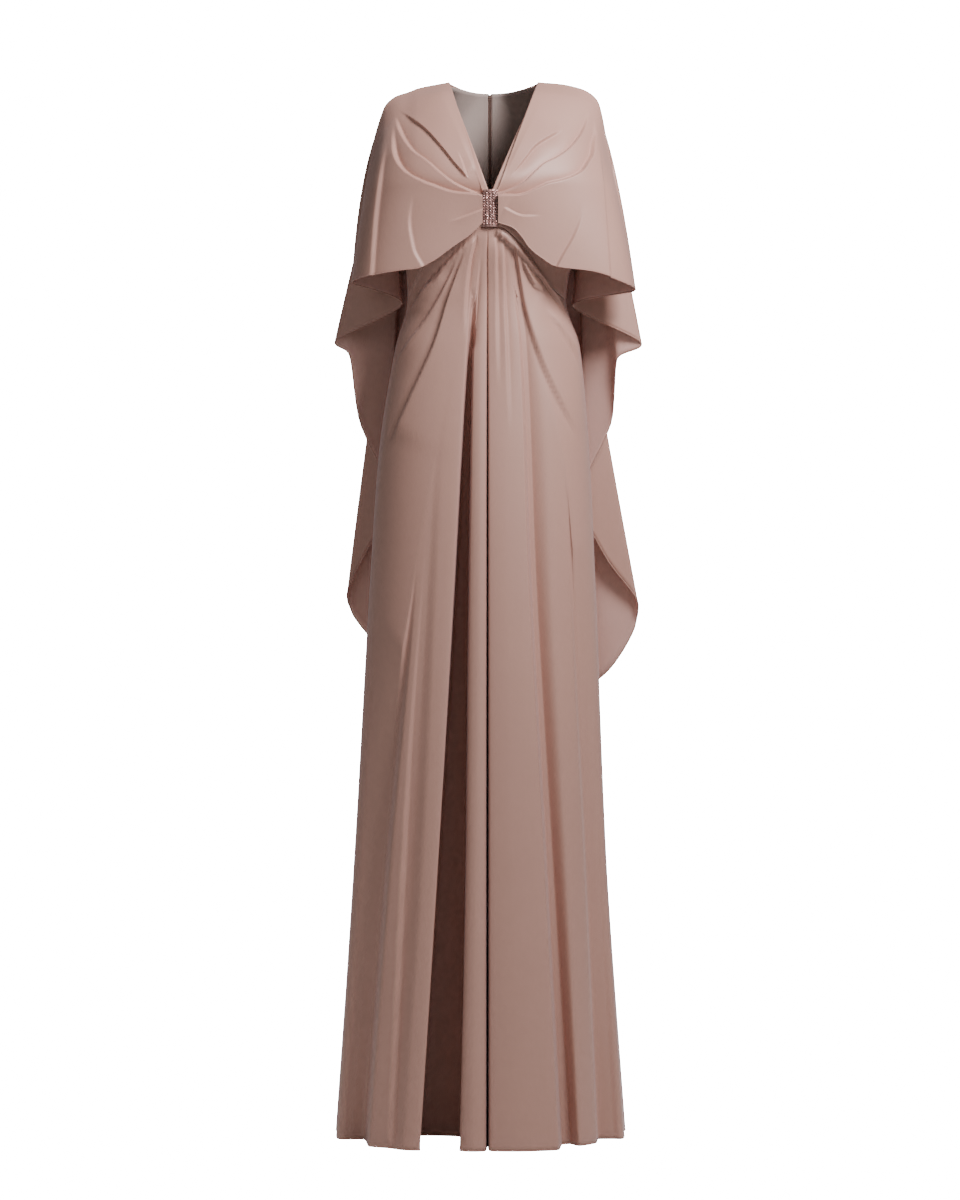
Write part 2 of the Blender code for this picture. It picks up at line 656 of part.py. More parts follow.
def make_bar():
    """The bar's backing, a domed strip over the gathers."""
    drop = np.linspace(BAR_TOP - 1.0, BAR_BOTTOM + BAR_UNDER, BAR_ROWS)[:, None]
    across = np.linspace(-1.0, 1.0, BAR_COLUMNS)[None, :]
    back = front_y("left", 0.0 * drop, drop) - RUNNING_GAP
    x = BAR_HALF * across + 0.0 * drop
    crown = BAR_THICK * (1.0 - BAR_CROWN * across**2)
    inner = np.stack([x, back + 0.0 * across, -drop + 0.0 * across], axis=-1)
    outer = np.stack([x, back - crown, -drop + 0.0 * across], axis=-1)
    return solid("beaded_bar", outer, inner, BEADS, 0.35)


def make_chain():
    """The zip's chain, between the centre-back edges of both layers."""
    drop = np.linspace(ZIP_TOP, ZIP_END, CHAIN_ROWS)[:, None]
    across = np.array([[-CHAIN_HALF, 0.0, CHAIN_HALF]])
    skin = back_y("left", 0.0 * drop, drop)
    inner = np.stack([across + 0.0 * drop, skin - WALL + 0.0 * across, -drop + 0.0 * across], axis=-1)
    outer = np.stack([across + 0.0 * drop, skin + CAPE_CLEAR + 0.0 * across, -drop + 0.0 * across], axis=-1)
    return solid("zip_chain", outer, inner, METAL, 0.5)


def block(name, low, high):
    """A box between two corners."""
    low = np.asarray(low, float) * MM
    high = np.asarray(high, float) * MM
    mesh = bpy.data.meshes.new(name)
    shape = bmesh.new()
    bmesh.ops.create_cube(shape, size=1.0)
    for vertex in shape.verts:
        for axis in range(3):
            vertex.co[axis] = low[axis] if vertex.co[axis] < 0 else high[axis]
    shape.to_mesh(mesh)
    shape.free()
    return finish(name, mesh, METAL, 0.35, 0.9)


def rod(name, radius, half, place):
    """A round rod along x."""
    mesh = bpy.data.meshes.new(name)
    shape = bmesh.new()
    bmesh.ops.create_cone(
        shape, cap_ends=True, segments=ROD_SIDES, radius1=radius * MM, radius2=radius * MM, depth=2.0 * half * MM
    )
    for vertex in shape.verts:
        x, y, z = vertex.co
        vertex.co = (z + place[0] * MM, y + place[1] * MM, -x + place[2] * MM)
    shape.to_mesh(mesh)
    shape.free()
    return finish(name, mesh, METAL, 0.35, 0.9)


def combine(base, other, operation):
    """Join or cut with another body, and remove that body."""
    change = base.modifiers.new(operation, "BOOLEAN")
    change.operation = operation
    change.object = other
    change.solver = "EXACT"
    bpy.context.view_layer.update()
    result = bpy.data.meshes.new_from_object(base.evaluated_get(bpy.context.evaluated_depsgraph_get()))
    base.modifiers.clear()
    base.data = result
    bpy.data.objects.remove(other)


def slider_y():
    """Depth of the slider's inner face, clear of the cape's outer face."""
    bottom = np.array(SLIDER_TOP + SLIDER_LENGTH)
    return float(back_y("left", np.array(0.0), bottom)) + CAPE_CLEAR + RUNNING_GAP


def pin_y():
    """Depth of the pin that the tab hangs on."""
    return slider_y() + SLIDER_THICK + RUNNING_GAP + TAB_EYE


def make_slider():
    """The slider with two lugs and a pin for the tab."""
    bottom = SLIDER_TOP + SLIDER_LENGTH
    skin = slider_y()
    y = pin_y()
    half = SLIDER_WIDTH / 2.0
    body = block("zip_slider", (-half, skin, -bottom), (half, skin + SLIDER_THICK, -SLIDER_TOP))
    inside = TAB_WIDTH / 2.0 + RUNNING_GAP
    reach = PIN_RADIUS + LUG_EDGE
    for sign in (-1.0, 1.0):
        near = sign * inside
        far = sign * (inside + LUG_WIDTH)
        low = (min(near, far), skin + 0.5, -PIN_DROP - reach)
        high = (max(near, far), y + reach, -PIN_DROP + reach)
        combine(body, block("lug", low, high), "UNION")
    combine(body, rod("pin", PIN_RADIUS, inside + LUG_WIDTH / 2.0, (0.0, y, -PIN_DROP)), "UNION")
    return body


def make_tab():
    """The pull tab, hanging on the slider's pin."""
    y = pin_y()
    place = (0.0, y, -PIN_DROP)
    half = TAB_WIDTH / 2.0
    tab = rod("zip_pull_tab", TAB_EYE, half, place)
    low = (-half, y - TAB_THICK / 2.0, -PIN_DROP - TAB_LENGTH)
    high = (half, y + TAB_THICK / 2.0, -PIN_DROP - 0.2)
    combine(tab, block("plate", low, high), "UNION")
    combine(tab, rod("bore", PIN_RADIUS + RUNNING_GAP, half + 1.0, place), "DIFFERENCE")
    return tab


def make_garment():
    """Build every piece."""
    x_axis = (1.0, 0.0, 0.0)
    y_axis = (0.0, 1.0, 0.0)
    z_axis = (0.0, 0.0, 1.0)
    for side, sign in SIDES.items():
        grid = skirt_front(side, SKIRT_ROWS, fold_columns(side, SKIRT_STEPS))
        seams = {"top": z_axis, "bottom": z_axis, "start": x_axis, "end": y_axis}
        solid("skirt_front_" + side, grid, inner_face(grid, -sign, seams), CREPE)

        grid = skirt_back(side, BACK_ROW_DROPS, BACK_COLUMNS)
        solid("skirt_back_" + side, grid, inner_face(grid, sign, seams), CREPE)

        grid = bodice_front(side, fold_columns(side, SKIRT_STEPS))
        seams = {"top": y_axis, "bottom": z_axis, "start": x_axis, "end": y_axis}
        solid("bodice_front_" + side, grid, inner_face(grid, -sign, seams), CREPE_BACK, 0.7)

        grid = bodice_back(side)
        solid("bodice_back_" + side, grid, inner_face(grid, sign, seams), CREPE_BACK, 0.7)

        grid = cape_front(side, SHOULDER_ROWS, CAPE_ROWS, CAPE_FRONT_COLUMNS)
        seams = {"start": x_axis, "end": y_axis}
        solid("cape_front_" + side, grid, inner_face(grid, -sign, seams), CREPE)

        grid = cape_back(side, CAPE_ROWS, CAPE_BACK_STEPS)
        seams = {"top": y_axis, "start": y_axis, "end": x_axis}
        solid("cape_back_" + side, grid, inner_face(grid, -sign, seams), CREPE)
    make_bar()
    make_chain()
    make_slider()
    make_tab()


for item in list(bpy.data.objects):
    bpy.data.objects.remove(item)
make_garment()
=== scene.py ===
# %% [markdown]
# # A v-neck gown with a cape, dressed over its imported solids
#
# The gown is satin-back crepe in dusty mauve: a bodice and a long skirt, and over them a cape that is
# gathered at a small beaded bar under the bust and falls in points at both sides. The solids of the part
# stay as the fixed frame, and each panel of cloth here is a fine shell on the form of its own solid.
# The first cell loads that frame and keeps its box, so that the dressed gown can be held against it.

import bmesh
import bpy
import numpy as np
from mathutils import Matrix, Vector

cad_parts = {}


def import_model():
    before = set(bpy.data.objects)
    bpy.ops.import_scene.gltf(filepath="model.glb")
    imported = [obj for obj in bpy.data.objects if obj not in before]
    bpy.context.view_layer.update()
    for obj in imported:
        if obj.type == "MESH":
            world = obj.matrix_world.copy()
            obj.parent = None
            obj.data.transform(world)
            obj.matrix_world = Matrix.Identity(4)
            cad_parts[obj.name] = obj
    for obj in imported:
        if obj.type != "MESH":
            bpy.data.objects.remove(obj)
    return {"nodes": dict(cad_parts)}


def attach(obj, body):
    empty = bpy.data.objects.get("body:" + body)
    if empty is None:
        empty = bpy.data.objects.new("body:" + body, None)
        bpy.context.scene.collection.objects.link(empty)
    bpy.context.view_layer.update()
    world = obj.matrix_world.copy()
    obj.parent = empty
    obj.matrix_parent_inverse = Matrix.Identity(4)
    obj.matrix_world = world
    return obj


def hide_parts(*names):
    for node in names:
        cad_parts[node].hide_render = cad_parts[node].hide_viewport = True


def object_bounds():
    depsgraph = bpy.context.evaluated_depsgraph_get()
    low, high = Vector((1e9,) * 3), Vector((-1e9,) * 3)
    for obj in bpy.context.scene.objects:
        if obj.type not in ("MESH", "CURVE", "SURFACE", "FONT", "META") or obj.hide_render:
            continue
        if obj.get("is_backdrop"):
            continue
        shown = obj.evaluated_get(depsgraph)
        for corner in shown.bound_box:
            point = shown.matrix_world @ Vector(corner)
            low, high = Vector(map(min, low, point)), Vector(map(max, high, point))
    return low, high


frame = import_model()
cad_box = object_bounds()
print("solids reach from", [round(v, 3) for v in cad_box[0]], "to", [round(v, 3) for v in cad_box[1]])

# %% [markdown]
# ## Camera
#
# A catalogue picture of a gown is taken level, from far away, so that hem and shoulder look equally wide.
# The camera stands six metres off at the middle of the gown's height. One picture pixel is then 1.5 mm
# at the middle of the body, in a picture 1200 pixels high.

# %% Place the camera
PICTURE_HEIGHT = 1200
MM_A_PIXEL = 1.5
CAMERA_AWAY = 6.0
CAMERA_ASIDE = -0.015
CAMERA_HEIGHT = -0.777
SENSOR = 36.0

camera_data = bpy.data.cameras.new("camera")
camera_data.sensor_fit = "VERTICAL"
camera_data.sensor_height = SENSOR
camera_data.lens = SENSOR * CAMERA_AWAY / (PICTURE_HEIGHT * MM_A_PIXEL / 1000.0)
camera = bpy.data.objects.new("camera", camera_data)
bpy.context.scene.collection.objects.link(camera)
camera.location = (CAMERA_ASIDE, -CAMERA_AWAY, CAMERA_HEIGHT)
camera.rotation_euler = (np.pi / 2.0, 0.0, 0.0)
bpy.context.scene.camera = camera
print("lens", round(camera_data.lens, 1), "mm")

# %% [markdown]
# ## Studio
#
# Satin shows its folds by the slow change from a lit face to a shaded one. A soft light close by, from the
# upper right in front, draws that change. It looks level, above the gown, so that it falls off towards the
# hem. A weaker one on the left keeps the shaded side open, a far one lights the back, and a pale surround
# fills the rest. The floor lies just below the hem. Area lights are used because their size is what makes a
# shadow soft.

# %% Light the studio
def area_light(name, place, target, size, power, tint):
    """A square soft light that looks at a point."""
    lamp = bpy.data.lights.new(name, "AREA")
    lamp.shape = "SQUARE"
    lamp.size = size
    lamp.energy = power
    lamp.color = tint
    item = bpy.data.objects.new(name, lamp)
    bpy.context.scene.collection.objects.link(item)
    item.location = place
    item.rotation_euler = (Vector(target) - Vector(place)).to_track_quat("-Z", "Y").to_euler()
    return item


BUST = (0.0, 0.0, -0.3)
ABOVE = (0.05, 0.0, 0.45)
MIDDLE = (0.0, 0.0, -0.7)
WARM_WHITE = (1.0, 0.96, 0.96)
area_light("key_light", (0.95, -1.25, 0.85), ABOVE, 0.7, 68.0, (1.0, 0.955, 0.965))
area_light("fill_light", (-1.9, -3.0, 0.9), BUST, 1.6, 9.0, WARM_WHITE)
area_light("back_light", (0.3, 4.4, 1.2), MIDDLE, 1.0, 120.0, (1.0, 0.98, 0.97))

# %% Surround with pale light
SURROUND = (1.0, 0.985, 0.975, 1.0)
SURROUND_STRENGTH = 0.12
SEEN_STRENGTH = 26.0

pale_world = bpy.data.worlds.new("pale_surround")
bpy.context.scene.world = pale_world
pale_world.use_nodes = True
nodes = pale_world.node_tree.nodes
links = pale_world.node_tree.links
surround = nodes["Background"]
surround.inputs["Color"].default_value = SURROUND
rays = nodes.new("ShaderNodeLightPath")
strength = nodes.new("ShaderNodeMix")
strength.inputs["A"].default_value = SURROUND_STRENGTH
strength.inputs["B"].default_value = SEEN_STRENGTH
links.new(rays.outputs["Is Camera Ray"], strength.inputs["Factor"])
links.new(strength.outputs["Result"], surround.inputs["Strength"])
print("surround lights with", SURROUND_STRENGTH, "and is seen at", SEEN_STRENGTH)

# %% Lay the floor
FLOOR_DROP = 0.02
FLOOR_SIZE = 40.0
FLOOR_PAINT = (0.93, 0.925, 0.92, 1.0)
FLOOR_GLOW = 25.0

floor_mesh = bpy.data.meshes.new("floor")
reach = FLOOR_SIZE / 2.0
level = cad_box[0].z - FLOOR_DROP
floor_mesh.from_pydata(
    [(-reach, -reach, level), (reach, -reach, level), (reach, reach, level), (-reach, reach, level)],
    [],
    [(0, 1, 2, 3)],
)
floor = bpy.data.objects.new("floor", floor_mesh)
bpy.context.scene.collection.objects.link(floor)
floor_paint = bpy.data.materials.new("pale_floor")
floor_paint.use_nodes = True
floor_tree = floor_paint.node_tree
floor_shader = floor_tree.nodes["Principled BSDF"]
floor_shader.inputs["Base Color"].default_value = FLOOR_PAINT
floor_shader.inputs["Roughness"].default_value = 0.9
floor_shader.inputs["Specular IOR Level"].default_value = 0.1
floor_shader.inputs["Emission Color"].default_value = SURROUND
seen = floor_tree.nodes.new("ShaderNodeLightPath")
glow = floor_tree.nodes.new("ShaderNodeMath")
glow.operation = "MULTIPLY"
glow.inputs[1].default_value = FLOOR_GLOW
floor_tree.links.new(seen.outputs["Is Camera Ray"], glow.inputs[0])
floor_tree.links.new(glow.outputs[0], floor_shader.inputs["Emission Strength"])
floor_mesh.materials.append(floor_paint)
floor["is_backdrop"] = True
print("floor at", round(level, 3), "m")

# %% [markdown]
# ## Smooth lines through a few sizes
#
# A dressmaker's block is a short list of widths, with fair curves drawn between them. `curve` does the
# same: it reads a small table at any place, and never swings past the sizes that it was given. All sizes
# below are millimetres: `out` is the distance from the middle towards a side, `y` the depth with the
# front at -y, and `drop` the distance below the shoulder. Left and right are the viewer's.

# %% Curves through tables
MM = 0.001
SIDES = {"left": -1.0, "right": 1.0}


def curve(places, values, where):
    """Values between given places, on a smooth line that never swings past its own points."""
    places = np.asarray(places, float)
    values = np.asarray(values, float)
    flat = values.reshape(len(places), -1)
    step = np.diff(places)[:, None]
    rise = np.diff(flat, axis=0) / step
    slope = np.zeros_like(flat)
    slope[0] = rise[0]
    slope[-1] = rise[-1]
    same_way = rise[:-1] * rise[1:] > 0.0
    total = np.where(same_way, rise[:-1] + rise[1:], 1.0)
    slope[1:-1] = np.where(same_way, 2.0 * rise[:-1] * rise[1:] / total, 0.0)
    where = np.asarray(where, float)
    spots = np.clip(where.reshape(-1), places[0], places[-1])
    span = np.clip(np.searchsorted(places, spots, side="right") - 1, 0, len(places) - 2)
    width = step[span]
    t = (spots - places[span])[:, None] / width
    result = (
        (1.0 + 2.0 * t) * (1.0 - t) ** 2 * flat[span]
        + t * (1.0 - t) ** 2 * width * slope[span]
        + t**2 * (3.0 - 2.0 * t) * flat[span + 1]
        + t**2 * (t - 1.0) * width * slope[span + 1]
    )
    return result.reshape(where.shape + values.shape[1:])


def line(pairs, where):
    """Read a table of pairs at the given places."""
    table = np.asarray(pairs, float)
    return curve(table[:, 0], table[:, 1], where)


def smooth_step(start, end, value):
    """Rise softly from 0 at start to 1 at end."""
    t = np.clip((np.asarray(value, float) - start) / (end - start), 0.0, 1.0)
    return t * t * (3.0 - 2.0 * t)


def edge_lengths(points):
    """Distance along a line of points from its start."""
    return np.concatenate([[0.0], np.cumsum(np.hypot(*np.diff(points, axis=0).T))])


print("halfway from 0 to 10:", line(((0, 0), (1, 10)), 0.5))

# %% [markdown]
# ## The plain form under the folds
#
# A gown that is worn with no wearer still has the rounded form that its cut gives it. Each level is a
# rounded oval, wide at the shoulders, close at the waist and opening to the hem. The shoulder line pulls
# the top of each panel down as it runs out to the arm. These sizes are the ones that the solids have, so
# that each shell lies on its solid.

# %% The gown's sizes
ROUND = 2.3
HEM_DROP = 1581.0

# drop, left, right, front, back
GOWN = (
    (0, 150, 152, 2, 2),
    (20, 150, 152, 32, 40),
    (60, 148, 150, 68, 75),
    (110, 143, 145, 101, 85),
    (165, 139, 141, 120, 90),
    (225, 131, 133, 117, 86),
    (330, 124, 114, 98, 74),
    (400, 142, 135, 103, 86),
    (560, 167, 149, 118, 108),
    (750, 180, 158, 130, 122),
    (1150, 203, 174, 150, 155),
    (1581, 231, 202, 175, 200),
)
COLUMN = {"left": 1, "right": 2, "front": 3, "back": 4}

# out, drop
SHOULDER = {
    "left": ((0, 0), (61, 0), (107, 9), (123, 15), (141, 21), (156, 33), (162, 45), (178, 102), (207, 302)),
    "right": ((0, 0), (72, 0), (107, 3), (134, 9), (148, 15), (161, 27), (166, 39), (178, 102), (218, 313)),
}
NECK_OUT = {"left": 61.0, "right": 72.0}
SHOULDER_TIP = {"left": 141.0, "right": 148.0}
BACK_NECK_DROP = 8.0
BACK_NECK_RISE = 52.0
SHOULDER_FADE = (60.0, 200.0)
BACK_WAIST = 330.0


def gown(column, drop):
    """One measure of the gown's plain form at each drop."""
    table = np.asarray(GOWN, float)
    return curve(table[:, 0], table[:, COLUMN[column]], drop)


def fullness(out, half):
    """How much of the full depth the form keeps at a distance out from the middle."""
    share = np.clip(np.abs(out) / half, 0.0, 1.0)
    return (1.0 - share**ROUND) ** (1.0 / ROUND)


def front_y(side, out, drop, half=None):
    """Depth of the gown's plain front."""
    fall = 1.0 - smooth_step(*SHOULDER_FADE, drop)
    below = drop - line(SHOULDER[side], np.abs(out)) * fall
    half = gown(side, drop) if half is None else half
    return -gown("front", np.maximum(below, 0.0)) * fullness(out, half)


def back_y(side, out, drop):
    """Depth of the gown's plain back."""
    neck = NECK_OUT[side]
    rise = BACK_NECK_RISE * (1.0 - smooth_step(0.0, neck, np.abs(out)))
    fall = 1.0 - smooth_step(*SHOULDER_FADE, drop)
    below = drop - (line(SHOULDER[side], np.abs(out)) - rise) * fall
    return gown("back", np.maximum(below, 0.0)) * fullness(out, gown(side, drop))


def world(side, out, y, drop):
    """Turn out, y and drop into points."""
    return np.stack([SIDES[side] * out, y, -drop], axis=-1)


turn = np.linspace(0.0, np.pi / 2.0, 200)
waist = 0.0
for side in SIDES:
    for facing in ("front", "back"):
        across = gown(side, BACK_WAIST) * np.sin(turn) ** (2.0 / ROUND)
        depth = gown(facing, BACK_WAIST) * np.cos(turn) ** (2.0 / ROUND)
        waist += np.hypot(np.diff(across), np.diff(depth)).sum()
print("waist about", round(waist / 10.0), "cm round")

# %% [markdown]
# ## Creases
#
# Cloth that is pulled from one point breaks into long folds. Each has a proud side, where a panel stands
# over its neighbour with a rounded edge that catches the light, and a low side in its shadow. Such a
# crease is drawn as a line on the panel, with the height of its edge, the depth beside it, and how far
# each side takes to run out. The cloth is then moved along its own normal, as a sculptor would push it.
# Setting each crease one by one keeps it where the real gown has it, which a simulation would not.

# %% Draw a crease on a panel
EDGE_SOFT = 1.7
SAMPLES = 70
END_SLACK = 0.01


def crease_line(points):
    """Closely spaced places on a smooth line through a few points of a crease."""
    points = np.asarray(points, float)
    lengths = edge_lengths(points)
    return curve(lengths, points, np.linspace(0.0, lengths[-1], SAMPLES))


def crease(out, drop, height, depth, proud, low, fade_in, fade_out, points):
    """How far one crease moves the cloth out of its plain form.

    The proud side lies to the left of the way that the line runs, seen with out to the right and drop
    down. proud and low are the widths over which the two sides run out.
    """
    path = crease_line(points)
    along = edge_lengths(path) / edge_lengths(path)[-1]
    tangent = np.gradient(path, axis=0)
    tangent /= np.linalg.norm(tangent, axis=1, keepdims=True)
    places = np.stack([out, drop], axis=-1).reshape(-1, 2)
    gap = places[:, None, :] - path[None]
    nearest = np.argmin((gap**2).sum(-1), axis=1)
    gap = gap[np.arange(len(places)), nearest]
    way = tangent[nearest]
    side = gap[:, 1] * way[:, 0] - gap[:, 0] * way[:, 1]
    past = np.abs((gap * way).sum(-1))
    at = along[nearest]
    strength = smooth_step(-END_SLACK, fade_in, at)
    strength = strength * (1.0 - smooth_step(1.0 - fade_out, 1.0 + END_SLACK, at))
    strength = strength * (1.0 - smooth_step(0.0, proud, past))
    rise = smooth_step(-EDGE_SOFT, EDGE_SOFT, -side)
    up = height * rise * np.exp(-np.maximum(-side, 0.0) / proud)
    down = depth * (1.0 - rise) * np.exp(-np.maximum(side, 0.0) / low)
    return ((up - down) * strength).reshape(out.shape)


def creases(side, out, drop, table):
    """The creases of one panel together."""
    total = np.zeros_like(out)
    for row in table.get(side, ()):
        total += crease(out, drop, *row[1:])
    return total


def unit(vectors):
    """Vectors of length 1."""
    return vectors / np.maximum(np.linalg.norm(vectors, axis=-1, keepdims=True), 1e-9)


def grid_normals(grid, facing):
    """The cloth's own normals."""
    down = np.gradient(grid, axis=0)
    across = np.gradient(grid, axis=1)
    return unit(np.cross(across, down)) * facing


def push(grid, facing, height):
    """Move the cloth along its normals."""
    return grid + grid_normals(grid, facing) * height[..., None]


test = crease(np.array([0.0, 0.0]), np.array([-5.0, 5.0]), 4, 2, 20, 10, 0.0, 0.0, ((-20, 0), (20, 0)))
print("a crease's two sides:", np.round(test, 1))

# %% [markdown]
# ## Skirt
#
# The skirt front is draped from the bar: every fold starts at the narrow waist seam and widens to the hem.
# One deep pleat lies left of the middle, its floor in shade between a broad panel and a narrow rounded fold.
# Each fold is a row of a table with its distance out at five levels and how far it lies back at the hem, so
# that the folds can be set one at a time. Lines that the bar pulls across the panels are added as creases.

# %% Sizes of the skirt
# out, drop
WAIST_SEAM = {
    "left": ((-8, 228), (12, 228), (75, 252), (90, 270), (108, 297), (124, 330)),
    "right": ((-8, 228), (12, 228), (45, 252), (70, 285), (90, 312), (114, 330)),
}
LEVELS = (0.0, 400.0, 750.0, 1150.0, HEM_DROP)
# name, out at the seam, high hip, thigh, calf and hem; recess at the hem; drop where it starts
FOLDS = {
    "left": (
        ("crease_floor", 4.15, 4.15, 4.15, 4.15, 4.15, 60, 232),
        ("crease_edge", 6, 6.5, 6.5, 7, 7, 8, 232),
        ("narrow_crest", 8, 15, 17, 21, 26, 0, 232),
        ("narrow_edge", 11, 23, 30, 35, 45, 12, 300),
        ("pleat_right", 14, 26, 33, 37, 44, 160, 320),
        ("pleat_floor", 17, 29, 41, 56, 74, 168, 320),
        ("pleat_left", 20, 32, 51, 76, 107, 158, 320),
        ("pleat_edge", 23, 35, 53, 75, 102, 3, 320),
        ("panel_crest", 30, 60, 78, 97, 126, -4, 500),
        ("panel_hollow", 40, 76, 93, 119, 152, 7, 600),
        ("panel_edge", 50, 92, 108, 143, 177, 4, 700),
        ("side_hollow", 66, 104, 122, 155, 188, 72, 850),
        ("side_roll", 102, 128, 158, 180, 208, 48, 800),
        ("side_seam", 124, 142, 180, 203, 231, 0, 800),
    ),
    "right": (
        ("crease_floor", -3.85, -3.85, -3.85, -3.85, -3.85, 60, 232),
        ("crease_edge", -2, -1.5, -1.5, -1, -1, 8, 232),
        ("wide_crest", 10, 21, 26, 36, 48, 0, 232),
        ("wide_edge", 20, 43, 56, 77, 99, 2, 300),
        ("wide_hollow", 24, 48, 62, 84, 107, 60, 330),
        ("wide_floor", 29, 54, 68, 91, 117, 60, 330),
        ("roll_crest", 36, 78, 91, 113, 133, 30, 450),
        ("roll_edge", 50, 106, 117, 137, 157, 42, 600),
        ("side_hollow", 60, 112, 124, 143, 162, 80, 700),
        ("side_roll", 86, 124, 143, 160, 183, 52, 700),
        ("side_seam", 114, 135, 158, 174, 202, 0, 700),
    ),
}
FOLD_GROWTH = 0.8
# drop, amplitude of the flutes behind
FLUTES = ((330, 0), (560, 3), (750, 7), (1150, 15), (1581, 23))
FLUTE_COUNT = 2.5
# half of the gap for the zip, and where it ends on the gown and on the cape
ZIP_HALF = 1.7
ZIP_GAP_END = 470.0
CAPE_GAP_END = 540.0
GAP_CLOSE = 25.0

# how much more than its listed height every crease stands; creases end before the side seam and the waist
CREASE_RELIEF = 1.25
SIDE_FADE = 1.8
WAIST_FADE = 0.008
# name, height, depth, proud width, low width, fade in, fade out, line
SKIRT_CREASES = {
    "left": (
        ("strip", 4, 4, 12, 10, 0.0, 0.5, ((103, 315), (70, 284), (49, 264), (29, 247), (8, 234))),
        ("inner_ridge", 3.5, 3.5, 16, 6, 0.1, 0.6, ((20, 240), (29, 278), (34, 328), (37, 395))),
        (
            "long_ridge", 4, 3, 34, 10, 0.1, 0.25,
            ((148, 543), (115, 468), (81, 393), (59, 325), (44, 281), (31, 251)),
        ),
        (
            "soft_ridge", 3.5, 2.5, 24, 9, 0.3, 0.3,
            ((150, 440), (133, 409), (103, 370), (83, 342), (63, 305), (46, 266)),
        ),
        ("outer_fold", 3.5, 3.5, 20, 8, 0.2, 0.3, ((120, 345), (103, 322), (80, 302), (66, 286))),
        ("pleat_top", 0, 3.5, 6, 5, 0.5, 0.1, ((14, 262), (18, 310), (22, 360), (27, 410))),
        ("hem_fold", 3, 3, 30, 30, 0.6, 0.0, ((95, 700), (118, 1000), (146, 1560))),
    ),
    "right": (
        (
            "strip", 4, 4, 14, 10, 0.05, 0.3,
            ((5, 233), (25, 250), (45, 268), (59, 284), (76, 301), (93, 322), (118, 358)),
        ),
        ("hook", 5, 3, 8, 12, 0.25, 0.15, ((45, 272), (55, 295), (66, 312), (80, 320))),
        ("inner_line", 2.5, 2.5, 10, 5, 0.5, 0.1, ((13, 480), (11, 380), (10, 300), (9, 236))),
        ("second_line", 2.5, 2.5, 12, 6, 0.5, 0.1, ((30, 540), (25, 400), (22, 320), (20, 246))),
        (
            "long_ridge", 4, 3, 32, 10, 0.08, 0.25,
            ((35, 251), (40, 278), (49, 337), (67, 401), (86, 450), (135, 543)),
        ),
        ("soft_ridge", 3.5, 2.5, 22, 9, 0.3, 0.35, ((79, 345), (100, 370), (117, 393), (136, 430))),
    ),
}


print("skirt folds:", {side: len(FOLDS[side]) for side in SIDES})

# %% Panels of the skirt
def fold_columns(side, steps):
    """Places along the fold table, a few between each pair of folds."""
    last = len(FOLDS[side]) - 1
    return np.linspace(0.0, last, last * steps + 1)


def zip_edge(drop, end):
    """Distance of a centre-back edge from the middle: parted for the zip, then closed to a seam."""
    return ZIP_HALF * (1.0 - smooth_step(end, end + GAP_CLOSE, drop))


def skirt_front(side, rows, columns):
    """The skirt front's outer face from the waist seam to the hem."""
    table = np.array([row[1:] for row in FOLDS[side]], float)
    places = np.arange(len(table))
    widths = curve(places, table[:, :5], columns)
    depth = curve(places, table[:, 5], columns)
    start = np.interp(columns, places, table[:, 6])
    top = line(WAIST_SEAM[side], widths[:, 0])
    drop = top[None, :] + (HEM_DROP - top)[None, :] * rows[:, None]
    out = np.zeros_like(drop)
    for column in range(len(columns)):
        levels = np.array(LEVELS)
        levels[0] = top[column]
        out[:, column] = curve(levels, widths[column], drop[:, column])
    half = gown(side, drop)
    out[:, -1] = half[:, -1]
    out = np.minimum(out, half)
    grown = np.clip((drop - start) / (HEM_DROP - start), 0.0, 1.0) ** FOLD_GROWTH
    y = front_y(side, out, drop) + depth * grown
    y[:, -1] = 0.0
    grid = world(side, out, y, drop)
    near_side = 1.0 - smooth_step(len(table) - SIDE_FADE, len(table) - 1.0, columns)[None, :]
    height = creases(side, out, drop, SKIRT_CREASES) * near_side
    height = height * smooth_step(0.0, WAIST_FADE, rows)[:, None]
    return push(grid, -SIDES[side], CREASE_RELIEF * height)


def skirt_back(side, rows, count):
    """The skirt back's outer face, with soft flutes that open towards the hem."""
    angle = np.linspace(0.0, np.pi / 2.0, count)[None, :]
    drop = (BACK_WAIST + (HEM_DROP - BACK_WAIST) * rows)[:, None]
    half = gown(side, drop)
    flute = line(FLUTES, drop) * np.cos(4.0 * FLUTE_COUNT * angle) * np.cos(angle) ** 0.5
    reach = 1.0 + flute / half
    out = half * np.sin(angle) ** (2.0 / ROUND) * reach
    y = gown("back", drop) * np.cos(angle) ** (2.0 / ROUND) * reach
    drop = np.broadcast_to(drop, out.shape).copy()
    out[:, 0] = zip_edge(drop[:, 0], ZIP_GAP_END)
    out[:, -1] = half[:, 0]
    y[:, -1] = 0.0
    return world(side, out, y, drop)


print("waist seam falls to", {side: WAIST_SEAM[side][-1][1] for side in SIDES}, "mm at the sides")

# %% [markdown]
# ## Bodice
#
# Under the cape lies a plain bodice with armholes. Little of it shows: the inside of its back, matte and
# greyer than the outside, is what one sees through the V. Its panels are filled in between their four
# edges, neck or centre back, shoulder, armhole with side seam, and waist.

# %% Sizes and panels of the bodice
UNDER = 5.0
UNDER_FADE = (100.0, 200.0)
BODICE_SHOULDER = 112.0
# out, drop
ARMHOLE = ((112, 0), (104, 60), (106, 120), (120, 170), (134, 200))
BAR_TOP = 175.0
BAR_BOTTOM = 222.0
BAR_HALF = 11.0


print("bar:", 2.0 * BAR_HALF, "by", BAR_BOTTOM - BAR_TOP, "mm")


